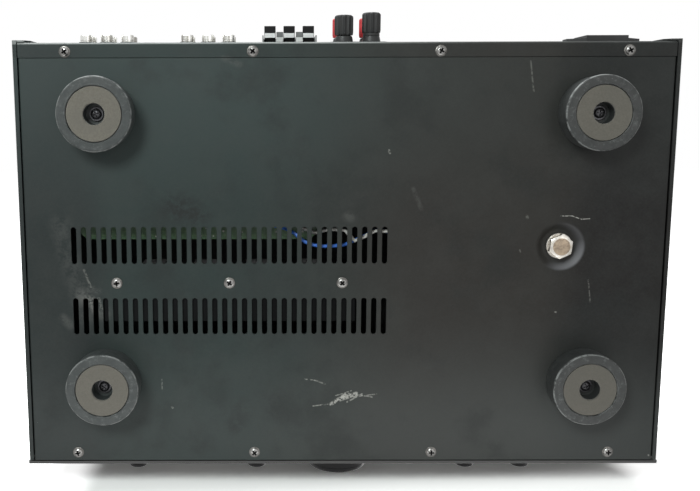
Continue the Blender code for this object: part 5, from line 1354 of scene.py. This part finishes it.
def input_jacks():
    """Phono jacks: a moulded block, insulating collars, plated barrels and their centre inserts."""
    face = REAR_FACE_Y - SHEET - GAP
    inside = face - JACK_BLOCK_DEPTH / 2 - REAR_Y
    collar = REAR_FACE_Y - REAR_Y + JACK_COLLAR
    bore = 0.0032
    neck = JACK_RADIUS - FINE_BREAK
    ring = bore - 0.00005
    rim = JACK_REACH - WIDE_BREAK
    root = JACK_REACH - JACK_HOLE_DEPTH
    groove = collar + WIDE_BREAK
    groove_end = groove + JACK_GROOVE
    turned = {
        "collars": ([(0, inside), (JACK_COLLAR_RADIUS, inside), (JACK_COLLAR_RADIUS, collar - BREAK),
                     (JACK_COLLAR_RADIUS - BREAK, collar), (0, collar)], 48, False),
        "barrels": ([(bore, collar), (JACK_RADIUS, collar), (JACK_RADIUS, groove),
                     (neck, groove + FINE_BREAK), (neck, groove_end - FINE_BREAK), (JACK_RADIUS, groove_end),
                     (JACK_RADIUS, JACK_REACH - JACK_CHAMFER), (JACK_RADIUS - JACK_CHAMFER, JACK_REACH),
                     (bore + FINE_BREAK, JACK_REACH), (bore, JACK_REACH - FINE_BREAK)], 64, True),
        "inserts": ([(JACK_HOLE_RADIUS, root), (JACK_HOLE_RADIUS, rim - FINE_BREAK),
                     (JACK_HOLE_RADIUS + FINE_BREAK, rim), (ring, rim), (ring, root)], 40, True),
    }
    half = JACK_PITCH * (JACK_COLUMNS - 1) / 2 + JACK_BLOCK_MARGIN
    for number, group_x in enumerate(JACK_GROUP_XS, 1):
        body = block("jack_block_%d" % number,
                     (group_x - half, face - JACK_BLOCK_DEPTH, BOARD_TOP_Z + GAP),
                     (group_x + half, face, JACK_LOW_Z + JACK_PITCH + JACK_BLOCK_MARGIN))
        made = {}
        for kind, (profile, sides, closed) in turned.items():
            name = "jack_%s_%d" % (kind, number)
            made[kind] = joined([lathe(name, profile, centre, FACE_REAR, sides, closed)
                                 for centre in jack_centres(group_x, REAR_Y)])
        add(soften(body, 0.0006), made["collars"])
        dress(body, "black_plastic", "input_jacks_%d" % number)
        dress(made["barrels"], "nickel")
        dress(made["inserts"], "white_sleeve", slot="")


def push_terminals():
    """The push-lever block: shouldered body, lever channels, wire mouths, ribs and three levers, with a
    black strip of painted shade in each wire mouth and ribs painted as lit and shaded.
    """
    low = PUSH_LOW_Z
    high = low + PUSH_TALL
    tall = PUSH_TALL / 2
    shoulder = PUSH_SHOULDER
    body = slab("lever_block", PUSH_X, low + tall, PUSH_HALF, tall, REAR_FACE_Y + GAP, PUSH_FRONT_Y)
    add(body, slab("inner", PUSH_X, low + tall, PUSH_HALF, tall - shoulder, REAR_FACE_Y - PUSH_INNER_DEPTH,
                   REAR_FACE_Y + SHEET))
    gap = LEVER_HALF + SLACK
    out = PUSH_FRONT_Y + OVERRUN
    roof = high - shoulder * 2
    cutters = []
    for x in LEVER_XS:
        cutters.append(block("channel", (x - gap, PUSH_FRONT_Y - PUSH_CHANNEL_DEPTH, low + shoulder * 2),
                             (x + gap, out, roof)))
        cutters.append(block("mouth", (x - gap, REAR_FACE_Y + shoulder, low - OVERRUN),
                             (x + gap, out, low + shoulder * 3)))
    dress(soften(cut(body, *cutters), BREAK), "grey_plastic", "push_terminal_block")
    pivot_y = PUSH_FRONT_Y - LEVER_PIVOT_RADIUS * 2
    pivot_z = roof - LEVER_PIVOT_RADIUS - SLACK
    thick = 0.0022
    reach = REAR_Y + LEVER_TAB_REACH - pivot_y
    tab_top = LEVER_TAB_THICKNESS - LEVER_ARM
    side = [
        *arc((0, 0), LEVER_PIVOT_RADIUS, 0, 180, 14), (thick / 2 - LEVER_PIVOT_RADIUS, -thick),
        (thick / 2 - LEVER_PIVOT_RADIUS, -LEVER_ARM), (reach, -LEVER_ARM), (reach, tab_top),
        (LEVER_PIVOT_RADIUS + thick / 2, tab_top + thick), (LEVER_PIVOT_RADIUS, -thick),
    ]
    outline = [(pivot_y + a, pivot_z + b) for a, b in side]
    strip_low = pivot_z - LEVER_ARM - GAP / 2
    strip_half = LEVER_HALF - GAP
    for number, x in enumerate(LEVER_XS, 1):
        lever_node = "push_lever_%d" % number
        lever = prism("finger_lever_%d" % number, outline, "YZ", x - LEVER_HALF, x + LEVER_HALF)
        dress(soften(lever, BREAK, 40), "lever_black", lever_node, lever_node, "black_plastic")
        # Each lever has a pale band and, in its wire mouth, a black strip of painted shade.
        for kind, near, far, look in (("band", *LEVER_BAND, "pale_band"),
                                      ("shade", -SHEET, LEVER_BAND[0], "dark_recess")):
            strip = block("lever_%s_%d" % (kind, number), (x - strip_half, REAR_Y + near, strip_low),
                          (x + strip_half, REAR_Y + far, strip_low + SHEET / 2))
            dress(soften(strip, GAP / 2), look, body=lever_node)
    # Ribs between the levers: the foot painted pale as lit and the top painted dark as shaded.
    for number, (left, right) in enumerate(zip(LEVER_XS, LEVER_XS[1:]), 1):
        for kind, near, far in (("foot", REAR_Y + GAP, REAR_Y + RIB_STEP),
                                ("top", REAR_Y + RIB_STEP, PUSH_FRONT_Y + RIB_RISE)):
            rib = block("rib_%s_%d" % (kind, number), (left + gap, near, low - GAP),
                        (right - gap, far, low + SHEET))
            dress(soften(rib, GAP / 2), "pale_rib" if kind == "foot" else "dark_rib")


def flute_outline(radius, depth):
    """A round outline with soft scooped flutes."""
    points = []
    total = CAP_FLUTES * 8
    for index in range(total):
        angle = math.tau * index / total
        wave = 0.5 - 0.5 * math.cos(angle * CAP_FLUTES)
        reach = radius - depth * wave ** 0.7
        points.append((reach * math.cos(angle), reach * math.sin(angle)))
    return points


def screw_cap(name, place):
    """A fluted cap with a rounded top and a bore for its stud."""
    layers = []
    for share in (0, 0.15, 0.5, 1):
        outline = flute_outline(CAP_RADIUS - (0 if share else BREAK), FLUTE_DEPTH)
        layers.append((outline, share * (CAP_LENGTH - CAP_ROUNDING)))
    for step in range(1, 7):
        turn = math.pi / 2 * step / 6
        inset = CAP_ROUNDING * (1 - math.cos(turn))
        outline = flute_outline(CAP_RADIUS - inset, FLUTE_DEPTH * math.cos(turn))
        layers.append((outline, CAP_LENGTH - CAP_ROUNDING * (1 - math.sin(turn))))
    cap = loft("screw_cap_" + name, layers)
    cap.data.transform(Matrix.Translation(place) @ FACE_REAR)
    cut(cap, rods([place], STUD_RADIUS + SLACK, -OVERRUN, STUD_IN_CAP + GAP, FACE_REAR))
    look = "red_plastic" if name.startswith("red") else "black_plastic"
    dress(cap, look, "post_cap_" + name, "post_cap_" + name, angle=40)


def speaker_posts():
    """The post base, its collars and studs, and four fluted caps, one of them backed off over a spacer."""
    xs = [centre.x for centre in POSTS.values()]
    zs = [centre.z for centre in POSTS.values()]
    margin = 0.0105
    left, right, low, high = min(xs) - margin, max(xs) + margin, min(zs) - margin, max(zs) + margin
    corner = margin / 4
    outline = [(left + corner, low), (right - corner, low), (right, low + corner), (right, high - corner),
               (right - corner, high), (left + corner, high), (left, high - corner), (left, low + corner)]
    base = soften(prism("post_plate", outline, "XZ", REAR_FACE_Y + GAP, REAR_Y + GAP), BREAK)
    root = COLLAR_TOP_RADIUS - GAP
    start = -SHEET - GAP
    collar_profile = [
        (0, COLLAR_LENGTH), (COLLAR_TOP_RADIUS - WIDE_BREAK, COLLAR_LENGTH),
        (COLLAR_TOP_RADIUS, COLLAR_LENGTH - WIDE_BREAK), (COLLAR_RADIUS, COLLAR_LENGTH / 2),
        (COLLAR_RADIUS, SHEET), (root, SHEET), (root, start), (0, start),
    ]
    end = CAP_SEAT + STUD_IN_CAP
    height = end - BREAK
    threads = [(0, end), (STUD_RADIUS - BREAK, end), (STUD_RADIUS, height)]
    while height - THREAD_PITCH > COLLAR_LENGTH - WIDE_BREAK:
        threads.append((STUD_RADIUS - THREAD_DEPTH, height - THREAD_PITCH / 2))
        height -= THREAD_PITCH
        threads.append((STUD_RADIUS, height))
    threads += [(STUD_RADIUS, COLLAR_LENGTH - 0.001), (0, COLLAR_LENGTH - 0.001)]
    for centre in POSTS.values():
        add(base, lathe("collar", collar_profile, centre, FACE_REAR, 40))
    dress(base, "black_plastic", "speaker_post_base")
    studs = [lathe("post_studs", threads, centre, FACE_REAR, 24) for centre in POSTS.values()]
    dress(joined(studs), "nickel")
    spacer_end = CAP_SEAT + CAP_BACKED_OFF - GAP
    bore = STUD_RADIUS + GAP
    spacer = lathe("post_spacer", [(COLLAR_TOP_RADIUS, COLLAR_LENGTH), (COLLAR_TOP_RADIUS, spacer_end),
                                   (bore, spacer_end), (bore, COLLAR_LENGTH)], POSTS["black_left"],
                   FACE_REAR, 40, True)
    dress(spacer, "black_plastic", slot="")
    for name, centre in POSTS.items():
        backed = CAP_BACKED_OFF if name == "black_left" else 0
        screw_cap(name, centre + Vector((0, CAP_SEAT + backed, 0)))


def mains_inlet():
    """The mains inlet with its eared flange, raised mouth, cavity, pins and ear screws."""
    half, tall, ear, ear_tall = 0.0137, 0.01125, 0.024, 0.004
    x, z = INLET_X, INLET_Z
    outline = [(x - half, z - tall), (x + half, z - tall), (x + ear, z - ear_tall), (x + ear, z + ear_tall),
               (x + half, z + tall), (x - half, z + tall), (x - ear, z + ear_tall), (x - ear, z - ear_tall)]
    back = REAR_FACE_Y + GAP
    face = back + INLET_FLANGE
    lip = face + INLET_RAISE
    floor = lip - CAVITY_DEPTH
    inlet = prism("inlet_shell", outline, "XZ", back, face)
    add(inlet, slab("mouth", x, z, half, tall, REAR_FACE_Y + SHEET, lip),
        slab("shell", x, z, CAVITY_HALF + INLET_WALL, CAVITY_TALL + INLET_WALL, floor - INLET_FLOOR,
             REAR_FACE_Y + SHEET * 2))
    left, right = x - CAVITY_HALF, x + CAVITY_HALF
    low, high = z - CAVITY_TALL, z + CAVITY_TALL
    corner = 0.004
    hollow = [(left + corner, low), (right - corner, low), (right, low + corner), (right, high),
              (left, high), (left, low + corner)]
    screws = [(x - ear + EAR_SCREW_INSET, face, z), (x + ear - EAR_SCREW_INSET, face, z)]
    mouth = EAR_HEAD_RADIUS + BREAK
    hole = EAR_SHANK_RADIUS + FINE_BREAK
    sink = [(0, OVERRUN), (mouth, OVERRUN), (mouth, 0), (hole, -EAR_SINK_DEPTH), (hole, EAR_SCREW_END),
            (0, EAR_SCREW_END)]
    cut(inlet, prism("hollow", hollow, "XZ", floor, lip + OVERRUN),
        *(lathe("sink", sink, centre, FACE_REAR, 40) for centre in screws))
    dress(soften(inlet, BREAK, 50), "black_plastic", "mains_inlet")
    pins = []
    for step in (-1, 0, 1):
        middle = z + (PIN_OFFSET if step else -PIN_OFFSET) / 2
        pin = slab("inlet_pins", x + step * PIN_SPACING / 2, middle, PIN_WIDTH / 2, PIN_TALL / 2,
                   floor - INLET_FLOOR / 2, lip - PIN_RECESS)
        pins.append(soften(pin, BREAK))
    dress(joined(pins), "nickel")
    top = EAR_HEAD_TOP
    profile = [(0, top), (EAR_HEAD_RADIUS - FINE_BREAK, top), (EAR_HEAD_RADIUS, top - FINE_BREAK),
               (EAR_SHANK_RADIUS, top - EAR_SINK_DEPTH), (EAR_SHANK_RADIUS, EAR_SCREW_END),
               (0, EAR_SCREW_END)]
    for number, centre in enumerate(screws, 1):
        screw = lathe("ear_screw_%d" % number, profile, centre, FACE_REAR, 40)
        place = Vector(centre) + Vector((0, top, 0))
        cut_cross(screw, EAR_SCREW_CROSS, place, FACE_REAR, SEEDS.uniform(0, math.pi))
        dress(screw, "black_zinc")


# Inside

def inside_parts():
    """The wound ring and the capacitors' cans."""
    soft = 0.009
    low = PLATE_TOP_Z + GAP + soft
    high = low + CORE_HEIGHT - soft * 2
    outer = CORE_RADIUS - soft
    inner = CORE_BORE_RADIUS + soft
    ring = [*arc((outer, high), soft, 90, 0, 8), *arc((outer, low), soft, 0, -90, 8),
            *arc((inner, low), soft, -90, -180, 6), *arc((inner, high), soft, 180, 90, 6)]
    core = lathe("wound_ring", ring, (CORE_X, CORE_Y, 0), UPRIGHT, 96, True)
    dress(core, "winding_tape", "transformer")
    low = BOARD_TOP_Z + GAP
    top = low + CAPACITOR_HEIGHT
    groove = 0.0012
    radius = 0.015
    neck = radius - groove
    can = [(0, top - groove), (neck - groove, top - groove), (neck - groove / 2, top - groove / 2),
           (neck, top), (radius - groove / 3, top - groove / 3), (radius, top - groove),
           (radius, low + groove * 3), (neck, low + groove * 2), (radius, low + groove), (neck, low),
           (0, low)]
    for number, x in enumerate(CAPACITOR_XS, 1):
        made = lathe("capacitor_can_%d" % number, can, (x, CAPACITOR_Y, 0), UPRIGHT, 64)
        dress(made, "capacitor_sleeve", "reservoir_capacitor_%d" % number)


def heat_sink():
    """The finned heat sink, with a plain web across the lower ends of its fins."""
    low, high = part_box("heat_sink")
    root = high.y - SINK_BASE
    pitch = (high.x - low.x - FIN_THICKNESS) / (FIN_COUNT - 1)
    web_end = low.y + FIN_STEP
    sink = block("finned_sink", (low.x, root, low.z), high)
    fins = [block("fin", (x, low.y, low.z), (x + FIN_THICKNESS, root + GAP, high.z))
            for x in (low.x + pitch * step for step in range(FIN_COUNT))]
    add(sink, joined(fins))
    add(sink, block("web", (low.x, web_end, low.z), (high.x, root + GAP, low.z + WEB_THICKNESS)))
    cut(sink, block("step", (low.x - OVERRUN, low.y - OVERRUN, low.z - OVERRUN),
                    (high.x + OVERRUN, web_end, low.z + FIN_STEP * 3)),
        rods([(x, SINK_SCREW_Y, 0) for x in SINK_SCREW_XS], SINK_SCREW_RADIUS + SLACK,
             low.z - OVERRUN, low.z + SINK_SCREW_DEPTH + GAP, UPRIGHT, 24))
    dress(sink, "aluminium", "heat_sink")


def carried_over():
    """Better materials for the model's own nodes that stay in view."""
    for name, item in frame["nodes"].items():
        if item.hide_render or name not in SLOTS:
            continue
        look = LOOKS[SLOTS[name]]
        if not item.data.materials:
            item.data.materials.append(look)
        for index in range(len(item.data.materials)):
            item.data.materials[index] = look


bottom_plate()
rear_panel()
top_cover()
front_panel()
dial_marks()
plate_screws()
feet()
transformer_bolt()
knobs()
headphone_socket()
input_jacks()
push_terminals()
speaker_posts()
mains_inlet()
inside_parts()
heat_sink()
carried_over()
